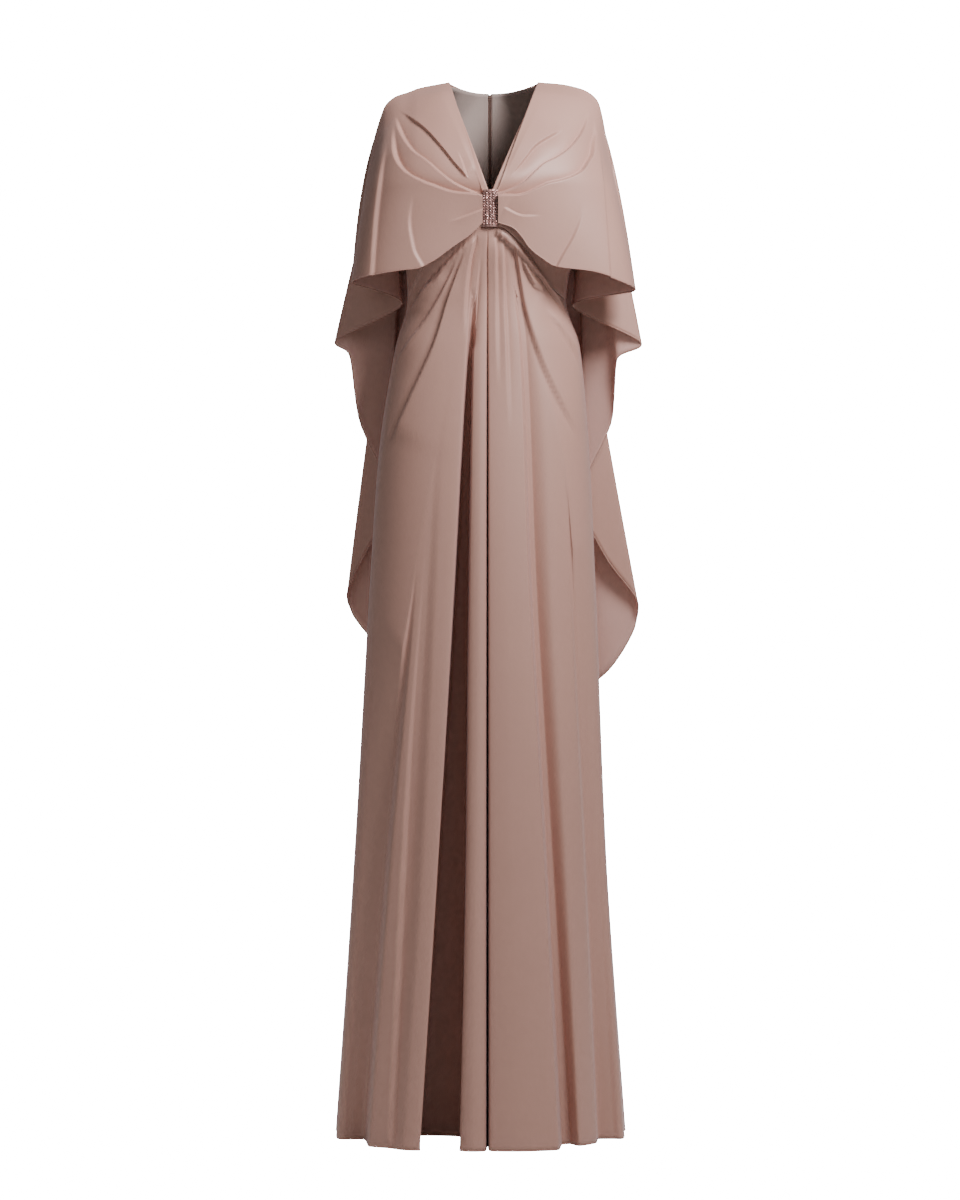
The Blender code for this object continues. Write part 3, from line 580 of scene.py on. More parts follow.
def patch(top, bottom, inner, outer):
    """Fill a grid between four edges that share their corners."""
    across = np.linspace(0.0, 1.0, top.shape[0])[None, :, None]
    down = np.linspace(0.0, 1.0, inner.shape[0])[:, None, None]
    between = (1 - across) * inner[:, None] + across * outer[:, None]
    between = between + (1 - down) * top[None] + down * bottom[None]
    corners = (1 - down) * ((1 - across) * top[0] + across * top[-1])
    return between - corners - down * ((1 - across) * bottom[0] + across * bottom[-1])


def shoulder_edge(side, end, count):
    """Points along the bodice's shoulder line from the neck to a distance out."""
    out = np.linspace(NECK_OUT[side] + UNDER / 2.0, end, count)
    return np.stack([out, line(SHOULDER[side], out) + UNDER], axis=-1)


def armhole_edge(side, drop):
    """Out of the armhole and then the side seam at each drop."""
    hole = np.asarray(ARMHOLE, float)
    return np.where(drop < hole[-1, 1], line(hole[:, ::-1], drop), gown(side, drop))


# %% Panels of the bodice
def bodice_front(side, rows, count):
    """The bodice front's outer face, a plain layer under the cape."""
    seam_out = np.linspace(0.0, WAIST_SEAM[side][-1][0], count)
    bottom = np.stack([seam_out, line(WAIST_SEAM[side], seam_out)], axis=-1)
    down = np.linspace(0.0, 1.0, rows)
    top = shoulder_edge(side, BODICE_SHOULDER, count)
    inner_drop = UNDER + (bottom[0, 1] - UNDER) * down
    inner_out = UNDER / 2.0 + NECK_OUT[side] * (1.0 - inner_drop / BAR_TOP)
    inner = np.stack([np.maximum(inner_out, 0.0), inner_drop], axis=-1)
    inner[0] = top[0]
    arm_drop = top[-1, 1] + (bottom[-1, 1] - top[-1, 1]) * down
    outer = np.stack([armhole_edge(side, arm_drop), arm_drop], axis=-1)
    outer[-1, 0] = bottom[-1, 0]
    flat = patch(top, bottom, inner, outer)
    out = np.minimum(flat[..., 0], gown(side, flat[..., 1]))
    lowered = UNDER * (1.0 - smooth_step(*UNDER_FADE, flat[..., 1]))
    y = front_y(side, out, flat[..., 1] - lowered)
    y[0] = 0.0
    y[:, -1] = np.minimum(y[:, -1], 0.0)
    return world(side, out, y, flat[..., 1])


def bodice_back(side, rows, count):
    """The bodice back's outer face, from the centre-back zip to the armhole and side."""
    neck = NECK_OUT[side] + UNDER / 2.0
    split = count // 2
    turn = np.linspace(0.0, np.pi / 2.0, split + 1)
    neck_out = ZIP_HALF + (neck - ZIP_HALF) * np.sin(turn)
    neck_drop = UNDER + (BACK_NECK_DROP - UNDER) * np.cos(turn)
    neck_edge = np.stack([neck_out, neck_drop], axis=-1)
    shoulder = shoulder_edge(side, BODICE_SHOULDER, count - split)
    top = np.concatenate([neck_edge[:-1], shoulder])
    down = np.linspace(0.0, 1.0, rows)
    inner_drop = BACK_NECK_DROP + (BACK_WAIST - BACK_NECK_DROP) * down
    inner = np.stack([zip_edge(inner_drop, ZIP_GAP_END), inner_drop], axis=-1)
    arm_drop = top[-1, 1] + (BACK_WAIST - top[-1, 1]) * down
    outer = np.stack([armhole_edge(side, arm_drop), arm_drop], axis=-1)
    angle = np.linspace(0.0, np.pi / 2.0, count)
    bottom_out = gown(side, BACK_WAIST) * np.sin(angle) ** (2.0 / ROUND)
    bottom_out[0] = ZIP_HALF
    bottom = np.stack([bottom_out, np.full_like(bottom_out, BACK_WAIST)], axis=-1)
    flat = patch(top, bottom, inner, outer)
    out = np.minimum(flat[..., 0], gown(side, flat[..., 1]))
    high = 1.0 - smooth_step(*UNDER_FADE, flat[..., 1])
    lowered = UNDER * high * smooth_step(0.0, neck, out)
    y = back_y(side, out, flat[..., 1] - lowered)
    y[0, split:] = 0.0
    y[:, -1] = np.maximum(y[:, -1], 0.0)
    return world(side, out, y, flat[..., 1])


print("armhole from", ARMHOLE[0][1], "to", ARMHOLE[-1][1], "mm below the shoulder")

# %% [markdown]
# ## Cape
#
# The cape is cut in one with the neck edge. In front it is gathered into the bar and fans out to the
# shoulder and over the arm. Behind, its cloth falls from the shoulder seam, and because the hem is cut far
# longer than the seam, it opens into falls with pointed tips down each side. Each fall is a row of a
# table: where it hangs from on the seam, where it meets the hem, and how far it swings out on the way.
# Front and back of one side are one mesh, joined where the cloth folds over the arm.

# %% Sizes of the cape
# out, drop
CAPE_HEM = {
    "left": ((11.3, 222), (30, 240), (52, 255), (88, 280), (110, 289), (132, 291), (170, 296), (207, 302)),
    "right": ((11.3, 222), (32, 229), (45, 241), (58, 259), (78, 275), (98, 286), (150, 292), (218, 313)),
}
# name, place on the top edge, hem out, hem y, hem drop, then how far the fall swings out, back and down
FALLS = {
    "left": (
        ("tip_1", 0.0, 207, -30, 302, 54, 2, 60),
        ("tip_1_back", 0.025, 205, -16, 304, 54, 12, 60),
        ("hollow_1", 0.07, 132, 14, 331, 30, 26, 62),
        ("tip_2", 0.12, 235, 42, 387, 44, 38, 64),
        ("tip_2_back", 0.15, 214, 54, 404, 46, 44, 64),
        ("lobe_2", 0.20, 200, 78, 498, 46, 52, 66),
        ("hollow_2", 0.26, 150, 112, 622, 44, 62, 70),
        ("rise_3", 0.31, 180, 130, 684, 44, 64, 72),
        ("tip_3", 0.37, 220, 150, 768, 51, 74, 75),
        ("tip_3_back", 0.41, 213, 164, 795, 50, 82, 75),
        ("back_1", 0.5, 176, 180, 845, 44, 84, 80),
        ("back_2", 0.6, 128, 200, 900, 36, 62, 80),
        ("back_3", 0.72, 88, 182, 930, 24, 44, 80),
        ("back_4", 0.86, 44, 200, 948, 10, 24, 80),
        ("centre", 1.0, 0, 190, 955, 0, 10, 80),
    ),
    "right": (
        ("tip_1", 0.0, 218, -30, 313, 39, 2, 60),
        ("tip_1_back", 0.025, 216, -16, 315, 39, 12, 60),
        ("hollow_1", 0.07, 124, 14, 334, 24, 26, 62),
        ("tip_2", 0.12, 230, 42, 390, 38, 38, 64),
        ("tip_2_back", 0.15, 193, 54, 412, 40, 44, 64),
        ("lobe_2", 0.20, 187, 80, 496, 36, 52, 66),
        ("hollow_2", 0.26, 140, 112, 620, 38, 62, 70),
        ("rise_3", 0.31, 176, 130, 708, 20, 64, 72),
        ("tip_3", 0.37, 229, 150, 784, 2, 74, 75),
        ("tip_3_back", 0.41, 225, 164, 814, 2, 82, 75),
        ("back_1", 0.5, 184, 180, 885, 6, 84, 80),
        ("back_2", 0.6, 128, 200, 925, 8, 62, 80),
        ("back_3", 0.72, 88, 182, 942, 12, 44, 80),
        ("back_4", 0.86, 44, 200, 952, 10, 24, 80),
        ("centre", 1.0, 0, 190, 955, 0, 10, 80),
    ),
}
CAPE_CLEAR = 3.2
CAPE_PROUD = 4.5
RUNNING_GAP = 0.3
TIP_Y = -30.0
RIDGE_TURN = (60.0, 300.0)
FALL_START = 1.15
CHEST_DROP = 190.0
CHEST_FALL = 0.2
CHEST_SOFT = 16.0
PROUD_START = 25.0
REST_PART = (0.06, 0.2)
CLOSE_PART = (0.8, 1.0)
CLOSE_END = 700.0

# name, height, depth, proud width, low width, fade in, fade out, line
CAPE_CREASES = {
    "left": (
        (
            "upper", 2.5, 1.2, 45, 12, 0.1, 0.25,
            ((31, 160), (52, 136), (72, 109), (97, 79), (118, 61), (136, 46)),
        ),
        (
            "middle", 3.5, 2.5, 40, 7, 0.15, 0.0,
            ((141, 55), (134, 76), (126, 94), (113, 113), (92, 130), (72, 149), (49, 166), (13, 182)),
        ),
        (
            "lower", 4.5, 3.5, 50, 8, 0.3, 0.0,
            ((142, 70), (141, 100), (139, 116), (134, 131), (123, 146), (110, 155), (86, 166),
             (49, 178), (13, 181)),
        ),
        ("dimple", 0.8, 1.5, 14, 12, 0.5, 0.2, ((48, 115), (40, 136), (33, 160))),
        ("arm_fold", 2, 2, 34, 30, 0.4, 0.0, ((148, 95), (160, 160), (168, 220), (174, 296))),
        ("drape", 1.6, 1.6, 30, 26, 0.6, 0.0, ((112, 178), (118, 220), (112, 260), (100, 284))),
        ("at_bar", 1.2, 1.6, 14, 12, 0.6, 0.0, ((62, 222), (40, 214), (13, 204))),
    ),
    "right": (
        ("upper", 2.2, 2.2, 34, 10, 0.3, 0.2, ((30, 155), (51, 128), (67, 107), (85, 94), (108, 80))),
        (
            "middle", 3.5, 3, 40, 7, 0.3, 0.0,
            ((148, 40), (145, 55), (138, 77), (124, 100), (112, 113), (97, 124), (79, 134), (64, 148),
             (51, 161), (37, 170), (13, 180)),
        ),
        (
            "lower", 4.5, 3.5, 50, 8, 0.3, 0.0,
            ((155, 55), (155, 79), (151, 101), (149, 116), (142, 131), (132, 146), (105, 159),
             (85, 164), (67, 172), (52, 179), (37, 182), (13, 182)),
        ),
        ("arm_fold", 2, 2, 30, 34, 0.0, 0.4, ((178, 300), (172, 220), (166, 160), (156, 95))),
        ("at_bar", 1.2, 1.4, 16, 14, 0.6, 0.1, ((78, 212), (50, 212), (20, 200))),
        ("to_notch", 2, 2, 26, 14, 0.7, 0.0, ((135, 190), (133, 210), (123, 240), (108, 267), (98, 286))),
    ),
}


print("falls of the cape:", {side: len(FALLS[side]) for side in SIDES})

# %% Edges of the cape
# the part of the top edge that is the shoulder seam; the rest is the back neck
SEAM_PART = 0.5


def tip_edge(side, share):
    """Out and drop along the cape's outer edge: the shoulder seam, then over the arm to the side tip."""
    table = np.asarray(SHOULDER[side], float)[1:]
    return curve(edge_lengths(table), table, np.asarray(share) * edge_lengths(table)[-1])


def shoulder_share(side):
    """How far along the cape's outer edge the shoulder tip lies."""
    table = np.asarray(SHOULDER[side], float)[1:]
    lengths = edge_lengths(table)
    return np.interp(SHOULDER_TIP[side], table[:, 0], lengths) / lengths[-1]


def fall_rows(rows):
    """Places down a fall of cloth, closer together at the top."""
    return np.linspace(0.0, 1.0, rows) ** FALL_START


def ridge_y(drop):
    """Depth of the cape's outer edge, which comes forward as it falls over the arm."""
    return TIP_Y * smooth_step(*RIDGE_TURN, drop)


def top_edge(side, share):
    """The cape back's top edge: the shoulder seam from its tip to the neck, then the back neck."""
    neck = NECK_OUT[side]
    seam = tip_edge(side, shoulder_share(side) * (1.0 - np.clip(share / SEAM_PART, 0.0, 1.0)))
    turn = np.clip((share - SEAM_PART) / (1.0 - SEAM_PART), 0.0, 1.0) * np.pi / 2.0
    out = np.where(share <= SEAM_PART, seam[:, 0], ZIP_HALF + (neck - ZIP_HALF) * np.cos(turn))
    drop = np.where(share <= SEAM_PART, seam[:, 1], BACK_NECK_DROP * np.sin(turn))
    y = np.where(share <= SEAM_PART, 0.0, back_y(side, out, drop) + CAPE_CLEAR * np.sin(turn))
    return np.stack([out, np.maximum(y, 0.0), drop], axis=-1)


def fall_columns(side, steps):
    """The falls' table read finely from the side tip round to the centre back."""
    table = np.array([row[1:] for row in FALLS[side]], float)
    last = len(table) - 1
    return curve(np.arange(last + 1), table, np.linspace(0.0, last, last * steps + 1))


print("shoulder tips lie at", [round(float(shoulder_share(side)), 2) for side in SIDES], "of the outer edges")

# %% Front of the cape
# the columns stand closer at the bar, and creases end before the neck edge and the fold over the arm
CAPE_FAN = 1.15
NECK_FADE = 0.06
ARM_FADE = 0.88


def cape_front(side, seam_share, rows, count):
    """The cape front's outer face, fanned from the bar to the shoulder and the side tip."""
    tip = shoulder_share(side)
    over_arm = tip + (1.0 - tip) * fall_rows(rows)
    down = np.concatenate([tip * (1.0 - seam_share[::-1] / SEAM_PART), over_arm[1:]])
    across = np.linspace(0.0, 1.0, count) ** CAPE_FAN
    bar_drop = BAR_TOP + (BAR_BOTTOM - BAR_TOP) * down
    bar = np.stack([np.full(len(down), BAR_HALF + RUNNING_GAP), bar_drop], axis=-1)
    outer = tip_edge(side, down)
    top = bar[0] + (outer[0] - bar[0]) * across[:, None]
    hem = np.asarray(CAPE_HEM[side], float)
    bottom = curve(edge_lengths(hem), hem, across * edge_lengths(hem)[-1])
    flat = patch(top, bottom, bar, outer)
    flat[:, 0] = bar
    flat[:, -1] = outer
    out = flat[..., 0]
    drop = flat[..., 1]
    ridge = np.interp(drop, outer[:, 1], outer[:, 0])
    share = np.clip(out / ridge, 0.0, 1.0)
    excess = (1.0 - CHEST_FALL) * drop - CHEST_DROP
    chest_drop = drop - (excess + np.sqrt(excess**2 + CHEST_SOFT**2)) / 2.0
    y = front_y(side, out, chest_drop, ridge) + ridge_y(drop) * share**2
    y -= CAPE_PROUD * (1.0 - share**4) * smooth_step(0.0, PROUD_START, drop)
    y[:, -1] = ridge_y(drop[:, -1])
    grid = world(side, out, y, drop)
    inside = smooth_step(0.0, NECK_FADE, down)[:, None] * (1.0 - smooth_step(ARM_FADE, 1.0, across))[None, :]
    return push(grid, -SIDES[side], CREASE_RELIEF * creases(side, out, drop, CAPE_CREASES) * inside)


print("pleats and folds of the cape front:", {side: len(CAPE_CREASES[side]) for side in SIDES})

# %% Back of the cape
# how soon below its top edge the back comes to rest on the skirt
SEAM_FADE = 0.02


def cape_back(side, read, rows):
    """The cape back's outer face: cloth falls from the shoulder and opens into falls down the side."""
    share = read[None, :, 0]
    top = top_edge(side, read[:, 0])
    hem = read[:, 1:4]
    middle = top + read[:, 4:7]
    fall = fall_rows(rows)
    t = fall[:, None, None]
    grid = (1 - t) ** 2 * top[None] + 2 * t * (1 - t) * middle[None] + t**2 * hem[None]
    out, y, drop = grid[..., 0], grid[..., 1], grid[..., 2]
    tip = shoulder_share(side)
    edge = tip_edge(side, tip + (1.0 - tip) * fall)
    out[:, 0] = edge[:, 0]
    drop[:, 0] = edge[:, 1]
    y[:, 0] = ridge_y(edge[:, 1])
    skin = back_y(side, out, drop) + line(FLUTES, np.maximum(drop, BACK_WAIST)) + CAPE_CLEAR
    behind = (out < gown(side, drop)) & (y > 0.0)
    rest = smooth_step(*REST_PART, share) * smooth_step(0.0, SEAM_FADE, fall[:, None])
    y = np.where(behind, y + np.maximum(skin - y, 0.0) * rest, y)
    close = smooth_step(*CLOSE_PART, share) * (1.0 - smooth_step(ZIP_GAP_END, CLOSE_END, drop))
    y = y + (skin - y) * close * behind
    out[:, -1] = zip_edge(drop[:, -1], CAPE_GAP_END)
    y[0] = top[:, 1]
    return world(side, out, y, drop)


print("centre back of the cape is closed", GAP_CLOSE, "mm below its opening")

# %% [markdown]
# ## Finishes
#
# Satin-back crepe has a fine pebbled grain and a soft shine on its right side, and a matte, greyer wrong
# side. Dye never takes quite evenly, so its colour drifts by a few hundredths over a panel. Grain and
# drift are needed in every cloth here, so they are one node group with named inputs. The shader itself
# stays in each material, with its shine and sheen set on its own sockets.

# %% Grain and dye, a group for every cloth
GRAIN_DEPTH = 0.00004


def new_group(name, inputs, outputs):
    """A node group with named sockets: (name, kind, default) going in and (name, kind) coming out."""
    group = bpy.data.node_groups.new(name, "ShaderNodeTree")
    for title, kind, value in inputs:
        socket = group.interface.new_socket(title, in_out="INPUT", socket_type=kind)
        socket.default_value = value
    for title, kind in outputs:
        group.interface.new_socket(title, in_out="OUTPUT", socket_type=kind)
    start = group.nodes.new("NodeGroupInput")
    end = group.nodes.new("NodeGroupOutput")
    return group, start, end


def add(group, kind, **settings):
    """Add a node with some of its settings."""
    node = group.nodes.new(kind)
    for title, value in settings.items():
        setattr(node, title, value)
    return node


def build_cloth_group():
    """Cloth colour with uneven dye, and the height of its crepe grain over twill threads."""
    colour = "NodeSocketColor"
    number = "NodeSocketFloat"
    group, start, end = new_group(
        "cloth_grain_and_dye",
        [
            ("Place", "NodeSocketVector", (0.0, 0.0, 0.0)),
            ("Dye", colour, (0.4, 0.3, 0.3, 1.0)),
            ("Unevenness", number, 0.05),
            ("Grains A Metre", number, 900.0),
            ("Threads A Metre", number, 1400.0),
            ("Shine Roughness", number, 0.45),
        ],
        [("Colour", colour), ("Height", number), ("Roughness", number)],
    )
    link = group.links.new
    drift = add(group, "ShaderNodeTexNoise")
    drift.inputs["Scale"].default_value = 7.0
    drift.inputs["Detail"].default_value = 3.0
    link(start.outputs["Place"], drift.inputs["Vector"])
    centred = add(group, "ShaderNodeMath", operation="SUBTRACT")
    centred.inputs[1].default_value = 0.5
    link(drift.outputs["Fac"], centred.inputs[0])
    spread = add(group, "ShaderNodeMath", operation="MULTIPLY_ADD")
    spread.inputs[2].default_value = 1.0
    link(centred.outputs[0], spread.inputs[0])
    link(start.outputs["Unevenness"], spread.inputs[1])
    grain = add(group, "ShaderNodeTexNoise")
    grain.inputs["Detail"].default_value = 2.0
    link(start.outputs["Place"], grain.inputs["Vector"])
    link(start.outputs["Grains A Metre"], grain.inputs["Scale"])
    twill = add(group, "ShaderNodeTexWave", bands_direction="DIAGONAL")
    twill.inputs["Distortion"].default_value = 0.6
    link(start.outputs["Place"], twill.inputs["Vector"])
    link(start.outputs["Threads A Metre"], twill.inputs["Scale"])
    height = add(group, "ShaderNodeMix", data_type="FLOAT")
    height.inputs["Factor"].default_value = 0.3
    link(grain.outputs["Fac"], height.inputs["A"])
    link(twill.outputs["Fac"], height.inputs["B"])
    pebbled = add(group, "ShaderNodeMath", operation="MULTIPLY_ADD")
    pebbled.inputs[1].default_value = 0.05
    link(height.outputs["Result"], pebbled.inputs[0])
    link(spread.outputs[0], pebbled.inputs[2])
    toned = add(group, "ShaderNodeVectorMath", operation="SCALE")
    link(start.outputs["Dye"], toned.inputs[0])
    link(pebbled.outputs[0], toned.inputs["Scale"])
    shine = add(group, "ShaderNodeMath", operation="MULTIPLY")
    link(start.outputs["Shine Roughness"], shine.inputs[0])
    link(spread.outputs[0], shine.inputs[1])
    link(toned.outputs[0], end.inputs["Colour"])
    link(height.outputs["Result"], end.inputs["Height"])
    link(shine.outputs[0], end.inputs["Roughness"])
    return group


cloth_group = build_cloth_group()
print("cloth group:", [item.name for item in cloth_group.interface.items_tree])


# %% The cloths


def cloth_material(name, dye, roughness, sheen, sheen_tint, specular, unevenness=0.06):
    """A cloth with the shared grain and dye, and its own shine."""
    material = bpy.data.materials.new(name)
    material.use_nodes = True
    tree = material.node_tree
    shader = tree.nodes["Principled BSDF"]
    place = tree.nodes.new("ShaderNodeTexCoord")
    cloth = tree.nodes.new("ShaderNodeGroup")
    cloth.node_tree = cloth_group
    cloth.inputs["Dye"].default_value = (*dye, 1.0)
    cloth.inputs["Unevenness"].default_value = unevenness
    cloth.inputs["Shine Roughness"].default_value = roughness
    bump = tree.nodes.new("ShaderNodeBump")
    bump.inputs["Strength"].default_value = 0.5
    bump.inputs["Distance"].default_value = GRAIN_DEPTH
    link = tree.links.new
    link(place.outputs["Object"], cloth.inputs["Place"])
    link(cloth.outputs["Colour"], shader.inputs["Base Color"])
    link(cloth.outputs["Roughness"], shader.inputs["Roughness"])
    link(cloth.outputs["Height"], bump.inputs["Height"])
    link(bump.outputs["Normal"], shader.inputs["Normal"])
    shader.inputs["Sheen Weight"].default_value = sheen
    shader.inputs["Sheen Roughness"].default_value = 0.4
    shader.inputs["Sheen Tint"].default_value = (*sheen_tint, 1.0)
    shader.inputs["Specular IOR Level"].default_value = specular
    return material


# colours, red, green and blue
CREPE = (0.49, 0.282, 0.225)
CREPE_WRONG_SIDE = (0.35, 0.283, 0.255)
# the cape's wrong side: its cloth colour lightened with painted light, so that the shaded undersides of the
# falls look lit
CAPE_WRONG_SIDE_WITH_PAINTED_LIGHT = (0.66, 0.42, 0.36)
# zip tape: a real tape, darkened to near black to paint the shade in the zip's gap
TAPE_WITH_PAINTED_SHADE = (0.10, 0.062, 0.05)
ROSE_GLASS = (0.50, 0.29, 0.26)
ZIP_METAL = (0.36, 0.25, 0.22)

crepe = cloth_material("crepe_right_side", CREPE, 0.5, 0.3, (1.0, 0.86, 0.88), 0.55)
# wrong side of cape and skirt, lighter than the right side: painted light on the shaded undersides of the
# falls
crepe_inside_with_painted_light = cloth_material("crepe_inside_with_painted_light", CAPE_WRONG_SIDE_WITH_PAINTED_LIGHT, 0.62, 0.15, (1.0, 0.88, 0.85), 0.35)
crepe_back = cloth_material("crepe_wrong_side", CREPE_WRONG_SIDE, 0.78, 0.1, (1.0, 0.95, 0.93), 0.25)
# the tapes' colour carries painted shade: the shadow along the zip's gap
tape_with_painted_shade = cloth_material("zip_tape_with_painted_shade", TAPE_WITH_PAINTED_SHADE, 0.8, 0.1, (1.0, 0.9, 0.85), 0.25)
thread = cloth_material("thread", tuple(v * 0.92 for v in CREPE), 0.5, 0.2, (1.0, 0.9, 0.88), 0.4)
print("cloth finishes:", [m.name for m in (crepe, crepe_inside_with_painted_light, crepe_back, tape_with_painted_shade, thread)])

# %% [markdown]
# ## Beads and metal
#
# The bar is covered with small rose glass beads. Each catches the light differently, so every bead
# carries its own tint, written into the mesh as a number and mixed in the material. The zip's slider and
# tab are metal lacquered to the gown's colour, worn a little lighter where a noise breaks the lacquer.

# %% Beads and metal
def bead_material():
    """Rose glass, darker or lighter from bead to bead."""
    material = bpy.data.materials.new("rose_beads")
    material.use_nodes = True
    tree = material.node_tree
    shader = tree.nodes["Principled BSDF"]
    tint = add(tree, "ShaderNodeAttribute", attribute_name="bead_tint")
    ramp = add(tree, "ShaderNodeValToRGB")
    ramp.color_ramp.elements[0].color = (*[v * 0.45 for v in ROSE_GLASS], 1.0)
    ramp.color_ramp.elements[1].color = (*[min(1.0, v * 1.9) for v in ROSE_GLASS], 1.0)
    tree.links.new(tint.outputs["Fac"], ramp.inputs["Fac"])
    tree.links.new(ramp.outputs["Color"], shader.inputs["Base Color"])
    shader.inputs["Metallic"].default_value = 0.35
    shader.inputs["Roughness"].default_value = 0.16
    shader.inputs["Coat Weight"].default_value = 0.8
    shader.inputs["Coat Roughness"].default_value = 0.08
    return material


def lacquer_material():
    """Metal lacquered to match the cloth, with a little wear."""
    material = bpy.data.materials.new("lacquered_metal")
    material.use_nodes = True
    tree = material.node_tree
    shader = tree.nodes["Principled BSDF"]
    place = add(tree, "ShaderNodeTexCoord")
    wear = add(tree, "ShaderNodeTexNoise")
    wear.inputs["Scale"].default_value = 900.0
    wear.inputs["Detail"].default_value = 4.0
    ramp = add(tree, "ShaderNodeValToRGB")
    ramp.color_ramp.elements[0].position = 0.45
    ramp.color_ramp.elements[0].color = (*ZIP_METAL, 1.0)
    ramp.color_ramp.elements[1].position = 0.75
    ramp.color_ramp.elements[1].color = (0.52, 0.42, 0.37, 1.0)
    tree.links.new(place.outputs["Object"], wear.inputs["Vector"])
    tree.links.new(wear.outputs["Fac"], ramp.inputs["Fac"])
    tree.links.new(ramp.outputs["Color"], shader.inputs["Base Color"])
    shader.inputs["Metallic"].default_value = 0.75
    shader.inputs["Roughness"].default_value = 0.32
    return material


beads = bead_material()
lacquer = lacquer_material()
backing = cloth_material("bar_backing", tuple(v * 0.6 for v in ROSE_GLASS), 0.6, 0.2, (1.0, 0.9, 0.88), 0.4)
print("bar and zip finishes:", beads.name, lacquer.name)

# %% [markdown]
# ## From a panel to cloth
#
# A panel is a grid of points. Its squares become a mesh, panels that share an edge are welded there, and a
# Solidify modifier gives the cloth its real thickness towards the inside, with the wrong side as a second
# material. One shell for each half of skirt and cape keeps the folds unbroken where cloth turns over an edge;
# each bodice piece is a shell of its own.

# %% Turn grids into cloth
CLOTH_THICK = 0.0011
WELD = 0.00001


def squares(rows, columns, first, facing):
    """Corner numbers of each square of a grid, with its outer face out."""
    index = np.arange(rows * columns).reshape(rows, columns) + first
    quads = np.stack([index[:-1, :-1], index[:-1, 1:], index[1:, 1:], index[1:, :-1]], axis=-1)
    quads = quads.reshape(-1, 4)
    return quads if facing > 0 else quads[:, ::-1]


def cloth_shell(name, panels, outside, inside):
    """One welded cloth of panels, each a grid in millimetres and the way it faces."""
    points = []
    faces = []
    first = 0
    for grid, facing in panels:
        rows, columns = grid.shape[:2]
        points.append(grid.reshape(-1, 3) * MM)
        faces.append(squares(rows, columns, first, facing))
        first += rows * columns
    mesh = bpy.data.meshes.new(name)
    mesh.from_pydata(np.concatenate(points).tolist(), [], np.concatenate(faces).tolist())
    shape = bmesh.new()
    shape.from_mesh(mesh)
    bmesh.ops.remove_doubles(shape, verts=shape.verts, dist=WELD)
    shape.to_mesh(mesh)
    shape.free()
    mesh.shade_smooth()
    mesh.materials.append(outside)
    mesh.materials.append(inside)
    item = bpy.data.objects.new(name, mesh)
    bpy.context.scene.collection.objects.link(item)
    thick = item.modifiers.new("thickness", "SOLIDIFY")
    thick.thickness = CLOTH_THICK
    thick.offset = -1.0
    thick.material_offset = 1
    return item


def cloth_area(grid):
    """The area of a panel's cloth in square metres."""
    across = grid[1:, 1:] - grid[:-1, :-1]
    down = grid[1:, :-1] - grid[:-1, 1:]
    return float(np.linalg.norm(np.cross(across, down), axis=-1).sum() / 2.0) * MM * MM


def dress(name, panels, outside, inside, nodes, flat, area):
    """Make a cloth, let it ride, hide the solids that it replaces, and print how it was cut."""
    item = cloth_shell(name, panels, outside, inside)
    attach(item, "gown")
    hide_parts(*nodes)
    made = sum(cloth_area(grid) for grid, _ in panels)
    faces = len(item.data.polygons)
    print(name, "cut", flat, "area", area, "made", round(made, 3), "triangles", 4 * faces)
    return item


# %% [markdown]
# ## Sew the skirt
#
# Each half of the skirt goes from the centre front to the centre back. The flat sizes are those of the
# cut: the widest the piece is when laid flat, its length, and its area, which is less than that
# rectangle because the piece is narrow at the waist and wide at the hem.

# %% Sew the skirt
SKIRT_ROWS = 190
FOLD_STEPS = 11
BACK_COUNT = 66
CENTRE_CREASE = -4.0

WAIST_CROWD = 1.12
skirt_rows = np.linspace(0.0, 1.0, SKIRT_ROWS) ** WAIST_CROWD
skirt_grids = {}
for side, sign in SIDES.items():
    front = skirt_front(side, skirt_rows, fold_columns(side, FOLD_STEPS))
    front[:, 0, 0] = CENTRE_CREASE
    back = skirt_back(side, skirt_rows, BACK_COUNT)
    skirt_grids[side] = (front, back)
    cut = {"left": (1.10, 1.35, 0.96), "right": (0.85, 1.35, 0.725)}[side]
    dress(
        "skirt_" + side,
        [(front, -sign), (back, sign)],
        crepe,
        crepe_inside_with_painted_light,
        ["skirt_front_" + side, "skirt_back_" + side],
        cut[:2],
        cut[2],
    )

# %% [markdown]
# ## Sew the bodice
#
# Each bodice front and back is one plain piece with its wrong side inwards, because that wrong side is
# what shows through the V. They are their own cloths and not part of the skirt's shell, since the real
# ones are cut apart at the waist seam.

# %% Sew the bodice
BODICE_ROWS = 60
BODICE_COUNT = 60

for side, sign in SIDES.items():
    front = bodice_front(side, BODICE_ROWS, BODICE_COUNT)
    dress(
        "bodice_front_" + side + "_cloth",
        [(front, -sign)],
        crepe,
        crepe_back,
        ["bodice_front_" + side],
        (0.17, 0.34),
        0.036,
    )
    back = bodice_back(side, BODICE_ROWS, BODICE_COUNT)
    dress(
        "bodice_back_" + side + "_cloth",
        [(back, sign)],
        crepe,
        crepe_back,
        ["bodice_back_" + side],
        (0.19, 0.34),
        0.047,
    )

# %% [markdown]
# ## Sew the cape
#
# The real cape is cut in one, so front and back of a side are welded where the cloth folds over the arm. Its
# falls turn the wrong side out, so both faces of the shell get a material of their own. The wrong side is
# lighter than the right side: its cloth colour with painted light added, so that the shaded undersides of the
# falls look lit.

# %% Sew the cape
FALL_STEPS = 8
CAPE_ROWS = 136
CAPE_COUNT = 136

cape_grids = {}
for side, sign in SIDES.items():
    read = fall_columns(side, FALL_STEPS)
    front = cape_front(side, read[read[:, 0] <= SEAM_PART, 0], CAPE_ROWS, CAPE_COUNT)
    back = cape_back(side, read, CAPE_ROWS)
    cape_grids[side] = (front, back)
    dress(
        "cape_" + side,
        [(front, -sign), (back, -sign)],
        crepe,
        crepe_inside_with_painted_light,
        ["cape_front_" + side, "cape_back_" + side],
        (0.75, 0.98),
        0.33,
    )
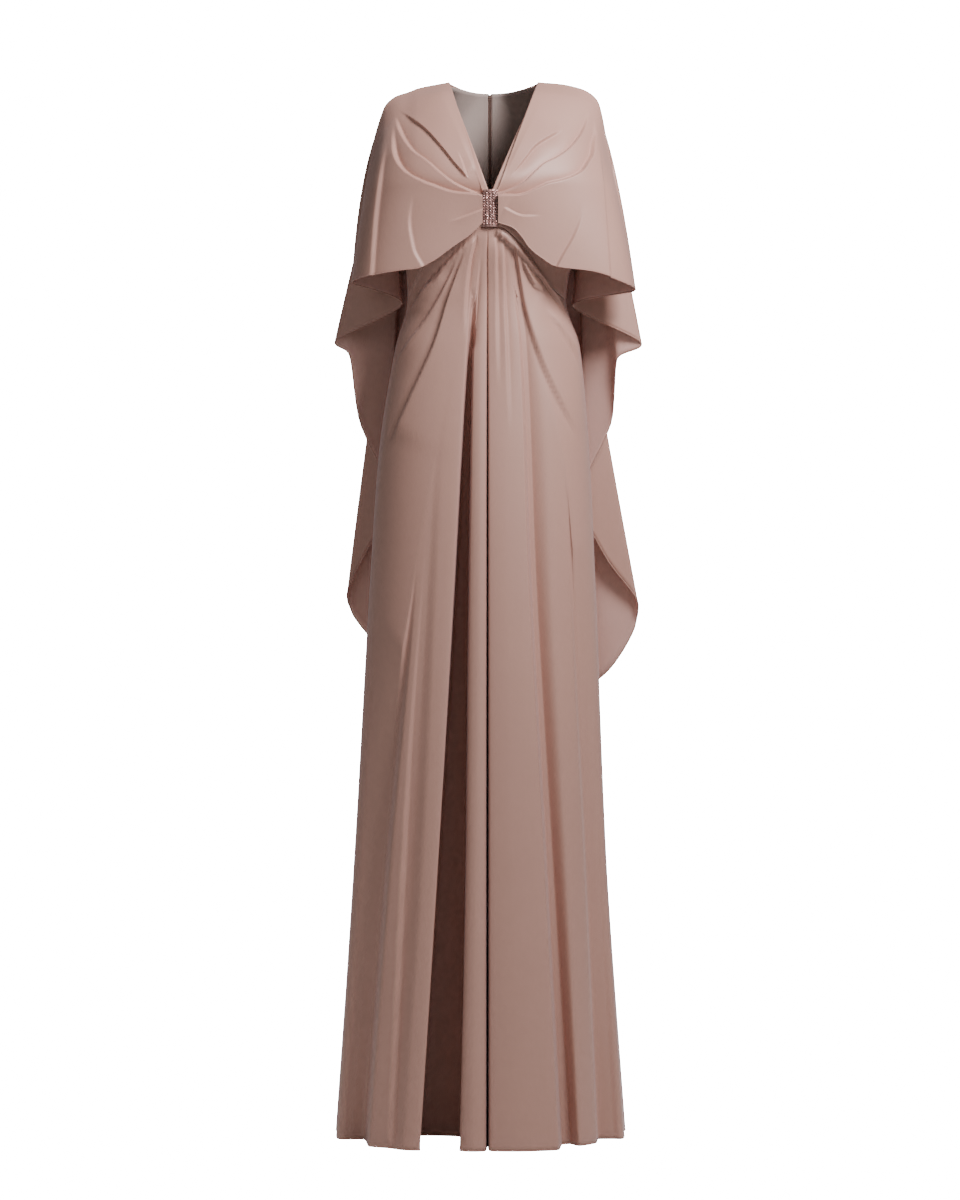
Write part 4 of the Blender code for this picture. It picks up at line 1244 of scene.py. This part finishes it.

# %% [markdown]
# ## Zip
#
# The gown closes with a fine zip at the centre back. Through the V one sees its inside: two dark tapes beside
# a narrow row of teeth. The tapes are thin strips on the inner face of the back; their near-black colour is
# partly painted shade, the shadow in the zip's narrow gap. The teeth are one mesh made from a single small
# tooth, repeated by a loop and set left and right in turn, as a real zip interlocks.

# %% Small parts as joined meshes
def free_mesh(name, points, faces, material):
    """A hard or sewn detail in millimetres that rides on the gown."""
    mesh = bpy.data.meshes.new(name)
    mesh.from_pydata((np.asarray(points, float) * MM).tolist(), [], faces)
    mesh.shade_smooth()
    mesh.materials.append(material)
    item = bpy.data.objects.new(name, mesh)
    bpy.context.scene.collection.objects.link(item)
    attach(item, "gown")
    return item


def box_points(centre, half):
    """The eight corners of a small block."""
    corners = [(a, b, c) for a in (-1, 1) for b in (-1, 1) for c in (-1, 1)]
    return [tuple(m + h * s for m, h, s in zip(centre, half, corner)) for corner in corners]


BOX_FACES = ((0, 1, 3, 2), (4, 6, 7, 5), (0, 4, 5, 1), (2, 3, 7, 6), (0, 2, 6, 4), (1, 5, 7, 3))


def many_boxes(rows):
    """Corners and faces of many small blocks, joined as one mesh."""
    points = []
    faces = []
    for centre, half in rows:
        first = len(points)
        points += box_points(centre, half)
        faces += [tuple(corner + first for corner in face) for face in BOX_FACES]
    return points, faces


def skin(drop):
    """Depth of the back's outer face on the middle line."""
    return float(back_y("left", np.array(0.0), np.array(float(drop))))


print("a block has", len(BOX_FACES), "faces")

# %% Set the teeth
ZIP_TOP = 14.0
ZIP_END = 466.0
TOOTH_PITCH = 2.0
TOOTH_HEIGHT = 1.2
TOOTH_REACH = 2.6
TOOTH_DEEP = 1.9
TOOTH_OUT = 0.6
TOOTH_ASIDE = 0.2
TOOTH_EDGE = 0.00025

teeth = []
for number, drop in enumerate(np.arange(ZIP_TOP, ZIP_END, TOOTH_PITCH)):
    aside = TOOTH_ASIDE if number % 2 else -TOOTH_ASIDE
    half = (TOOTH_REACH / 2.0, TOOTH_DEEP, TOOTH_HEIGHT / 2.0)
    teeth.append(((aside, skin(drop) + TOOTH_OUT, -drop), half))
points, faces = many_boxes(teeth)
zip_teeth = free_mesh("zip_teeth", points, faces, lacquer)
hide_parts("zip_chain")
round_edge = zip_teeth.modifiers.new("rounded", "BEVEL")
round_edge.width = TOOTH_EDGE
round_edge.segments = 1
print("zip:", len(teeth), "teeth")

# %% Sew the tapes beside the teeth
TAPE_WIDTH = 2.4
TAPE_OVERLAP = 0.1
TAPE_THICK = 0.5
TAPE_RISE = 4.0
SEAM_DEEP = 1.3
TAPE_LEVELS = 90

for side, sign in SIDES.items():
    points = []
    faces = []
    levels = np.linspace(ZIP_TOP - TAPE_RISE, ZIP_END, TAPE_LEVELS)
    for drop in levels:
        inner = skin(drop) - SEAM_DEEP - TAPE_THICK
        near = -sign * TAPE_OVERLAP
        far = sign * (TAPE_WIDTH - TAPE_OVERLAP)
        outer = inner + TAPE_THICK
        points += [(near, inner, -drop), (far, inner, -drop), (far, outer, -drop), (near, outer, -drop)]
    for row in range(len(levels) - 1):
        for corner in range(4):
            a = 4 * row + corner
            b = 4 * row + (corner + 1) % 4
            faces.append((a, b, b + 4, a + 4) if sign > 0 else (b, a, a + 4, b + 4))
    last = 4 * (len(levels) - 1)
    faces.append((3, 2, 1, 0) if sign > 0 else (0, 1, 2, 3))
    end = (last, last + 1, last + 2, last + 3)
    faces.append(end if sign > 0 else end[::-1])
    free_mesh("zip_tape_with_painted_shade_" + side, points, faces, tape_with_painted_shade)
print("tapes:", ["zip_tape_with_painted_shade_" + side for side in SIDES])

# %% Run a line of stitches along each tape
STITCH_PITCH = 3.2
STITCH_LENGTH = 2.3
STITCH_WIDE = 0.35
STITCH_OUT = 1.9

stitches = []
for sign in (-1.0, 1.0):
    for drop in np.arange(ZIP_TOP, ZIP_END, STITCH_PITCH):
        place = (sign * STITCH_OUT, skin(drop) - SEAM_DEEP - TAPE_THICK, -drop)
        stitches.append((place, (STITCH_WIDE / 2.0, STITCH_WIDE / 2.0, STITCH_LENGTH / 2.0)))
points, faces = many_boxes(stitches)
free_mesh("zip_stitches", points, faces, thread)
print("stitches beside the zip:", len(stitches))

# %% [markdown]
# ## Solids that stay
#
# The slider and its tab are hard, so their solids stay, lacquered and with their edges just broken by a
# bevel. The bar's solid stays as the backing under the beads.

# %% Finish the solids that stay
def refinish(name, material, bevel=0.0):
    """Give a solid that stays its finish, with its edges just broken."""
    item = frame["nodes"][name]
    for entry in item.material_slots:
        entry.material = material
    if bevel:
        edge = item.modifiers.new("broken_edge", "BEVEL")
        edge.width = bevel
        edge.segments = 2
        edge.limit_method = "ANGLE"


solids_kept = (
    ("zip_slider", lacquer, 0.0003),
    ("zip_pull_tab", lacquer, 0.0002),
    ("beaded_bar", backing, 0.0),
)
for name, material, bevel in solids_kept:
    refinish(name, material, bevel)
print("solids that stay:", [row[0] for row in solids_kept])

# %% [markdown]
# ## Beads on the bar
#
# Five columns of rose beads are sewn over the gathers, a little smaller along both edges, with seed beads
# between the columns. One faceted bead is made once as points and faces and then repeated into
# one mesh, which is far lighter than hundreds of objects. Each bead turns a little and carries its own
# tint, both from a seeded random draw, so that the bar sparkles unevenly and the same way each time.

# %% One bead and the backing under it
BAR_THICK = 6.0
BAR_CROWN = 0.45


def faceted_ball():
    """Corners and faces of a ball with flat facets."""
    shape = bmesh.new()
    bmesh.ops.create_icosphere(shape, subdivisions=2, radius=1.0)
    corners = np.array([v.co[:] for v in shape.verts])
    faces = [tuple(v.index for v in f.verts) for f in shape.faces]
    shape.free()
    return corners, faces


def bar_face(across, drop):
    """Depth of the backing's domed face."""
    crown = BAR_THICK * (1.0 - BAR_CROWN * across**2)
    return float(front_y("left", np.array(0.0), np.array(float(drop)))) - RUNNING_GAP - crown


ball, ball_faces = faceted_ball()
print("a bead has", len(ball_faces), "facets")

# %% Sew the beads
BAR_UNDER = 6.0
TOP_MARGIN = 0.8
LOW_MARGIN = 1.0
BEAD_COLUMNS = 5
BEAD_PITCH = 3.7
BEAD_RADIUS = 1.75
BEAD_SIZES = (0.9, 1.08)
BEAD_STRAY = 0.25
BEAD_INSET = 1.6
BEAD_SUNK = 0.45
EDGE_BEAD = 0.82
SEED_RADIUS = 0.85
SEED_SIZES = (0.85, 1.1)
SEED_SPREAD = 0.75
DEEP_TINTS = 1.4

chance = np.random.default_rng(7)
places = []
levels = np.arange(BAR_TOP + TOP_MARGIN, BAR_BOTTOM + BAR_UNDER - LOW_MARGIN, BEAD_PITCH)
for column in np.linspace(-1.0, 1.0, BEAD_COLUMNS):
    for drop in levels:
        full = 1.0 if abs(column) < 1.0 else EDGE_BEAD
        size = BEAD_RADIUS * full * chance.uniform(*BEAD_SIZES)
        shift = chance.uniform(-BEAD_STRAY, BEAD_STRAY, 2)
        places.append((column * (BAR_HALF - BEAD_INSET) + shift[0], drop + shift[1], size))
for column in np.linspace(-SEED_SPREAD, SEED_SPREAD, BEAD_COLUMNS - 1):
    for drop in levels[:-1] + BEAD_PITCH / 2.0:
        places.append((column * (BAR_HALF - BEAD_INSET), drop, SEED_RADIUS * chance.uniform(*SEED_SIZES)))
points = []
faces = []
tints = []
for x, drop, size in places:
    turn = chance.uniform(0.0, np.pi)
    spin = np.array([[np.cos(turn), 0, np.sin(turn)], [0, 1, 0], [-np.sin(turn), 0, np.cos(turn)]])
    centre = np.array([x, bar_face(x / BAR_HALF, drop) - BEAD_SUNK * size, -drop])
    first = len(points) * len(ball)
    points.append(ball @ spin.T * size + centre)
    faces += [tuple(corner + first for corner in face) for face in ball_faces]
    tints += [chance.uniform(0.0, 1.0) ** DEEP_TINTS] * len(ball)
bar_beads = free_mesh("bar_beads", np.concatenate(points), faces, beads)
bar_beads.data.shade_flat()
tint = bar_beads.data.attributes.new("bead_tint", "FLOAT", "POINT")
tint.data.foreach_set("value", tints)
print("beads on the bar:", len(places))

# %% [markdown]
# ## Hems, seams and stitches
#
# A hem of crepe is turned and pressed, so its edge is a soft roll about two millimetres thick. It is
# made as a thin tube along the edge of the shell, so that it follows every fold. The hem is sewn blind, so
# no stitch shows. Seams at the sides and at the centre back, below the zip, are two layers that meet in a
# fine ridge, drawn the same way but thinner.

# %% A thin tube along a path
TUBE_SIDES = 6
STEEP = 0.8


def tube(path, radius):
    """Corners and faces of a thin tube along a path of points, closed at both ends."""
    path = np.asarray(path, float)
    along = unit(np.gradient(path, axis=0))
    up = np.where(np.abs(along[:, 2:]) > STEEP, np.array([[0.0, 1.0, 0.0]]), np.array([[0.0, 0.0, 1.0]]))
    first = unit(np.cross(along, up))
    for row in range(1, len(first)):
        flat = first[row - 1] - along[row] * (first[row - 1] @ along[row])
        first[row] = flat / max(np.linalg.norm(flat), 1e-9)
    second = np.cross(along, first)
    turn = np.linspace(0.0, 2.0 * np.pi, TUBE_SIDES, endpoint=False)
    ring = path[:, None] + radius * (
        np.cos(turn)[None, :, None] * first[:, None] + np.sin(turn)[None, :, None] * second[:, None]
    )
    faces = []
    for row in range(len(path) - 1):
        for corner in range(TUBE_SIDES):
            a = row * TUBE_SIDES + corner
            b = row * TUBE_SIDES + (corner + 1) % TUBE_SIDES
            faces.append((a, b, b + TUBE_SIDES, a + TUBE_SIDES))
    last = (len(path) - 1) * TUBE_SIDES
    faces.append(tuple(range(TUBE_SIDES))[::-1])
    faces.append(tuple(last + corner for corner in range(TUBE_SIDES)))
    return ring.reshape(-1, 3), faces


def moved_in(grid, facing, deep):
    """The grid's points, moved into the thickness of the cloth."""
    return grid - grid_normals(grid, facing) * deep


def roll(name, path, radius):
    """A hem or seam as a thin tube along an edge."""
    points, faces = tube(path, radius)
    free_mesh(name, points, faces, crepe)


print("a tube has", TUBE_SIDES, "sides")

# %% Roll the hems and close the seams
HEM_ROLL = 1.0
SEAM_ROLL = 0.72

half_thick = CLOTH_THICK / MM / 2.0
for side, sign in SIDES.items():
    front, back = skirt_grids[side]
    hem = np.concatenate(
        [moved_in(front, -sign, half_thick)[-1], moved_in(back, sign, half_thick)[-1, ::-1]]
    )
    hem[:, 2] += HEM_ROLL
    roll("skirt_hem_" + side, hem, HEM_ROLL)
    cape_front_grid, cape_back_grid = cape_grids[side]
    front_hem = moved_in(cape_front_grid, -sign, half_thick)[-1]
    back_hem = moved_in(cape_back_grid, -sign, half_thick)[-1]
    roll("cape_hem_" + side, np.concatenate([front_hem[:-1], back_hem]), HEM_ROLL)
    roll("side_seam_" + side, moved_in(front, -sign, half_thick)[:, -1], SEAM_ROLL)

left_back = moved_in(skirt_grids["left"][1], -1.0, half_thick)[:, 0]
below_zip = left_back[left_back[:, 2] < -(ZIP_GAP_END + GAP_CLOSE)]
below_zip[:, 0] = 0.0
roll("centre_back_seam", below_zip, SEAM_ROLL)
print("hems and seams: rolled", HEM_ROLL * 2.0, "mm, seams", SEAM_ROLL * 2.0, "mm")

# %% [markdown]
# ## Sizes and finish
#
# The dressed gown must stay in the box of its solids, apart from the little that cloth may stand proud.
# Both boxes are printed.

# %% Print the sizes and finish
visual_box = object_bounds()
for label, box in (("solids", cad_box), ("dressed", visual_box)):
    print(label, [round(v, 4) for v in box[0]], [round(v, 4) for v in box[1]])
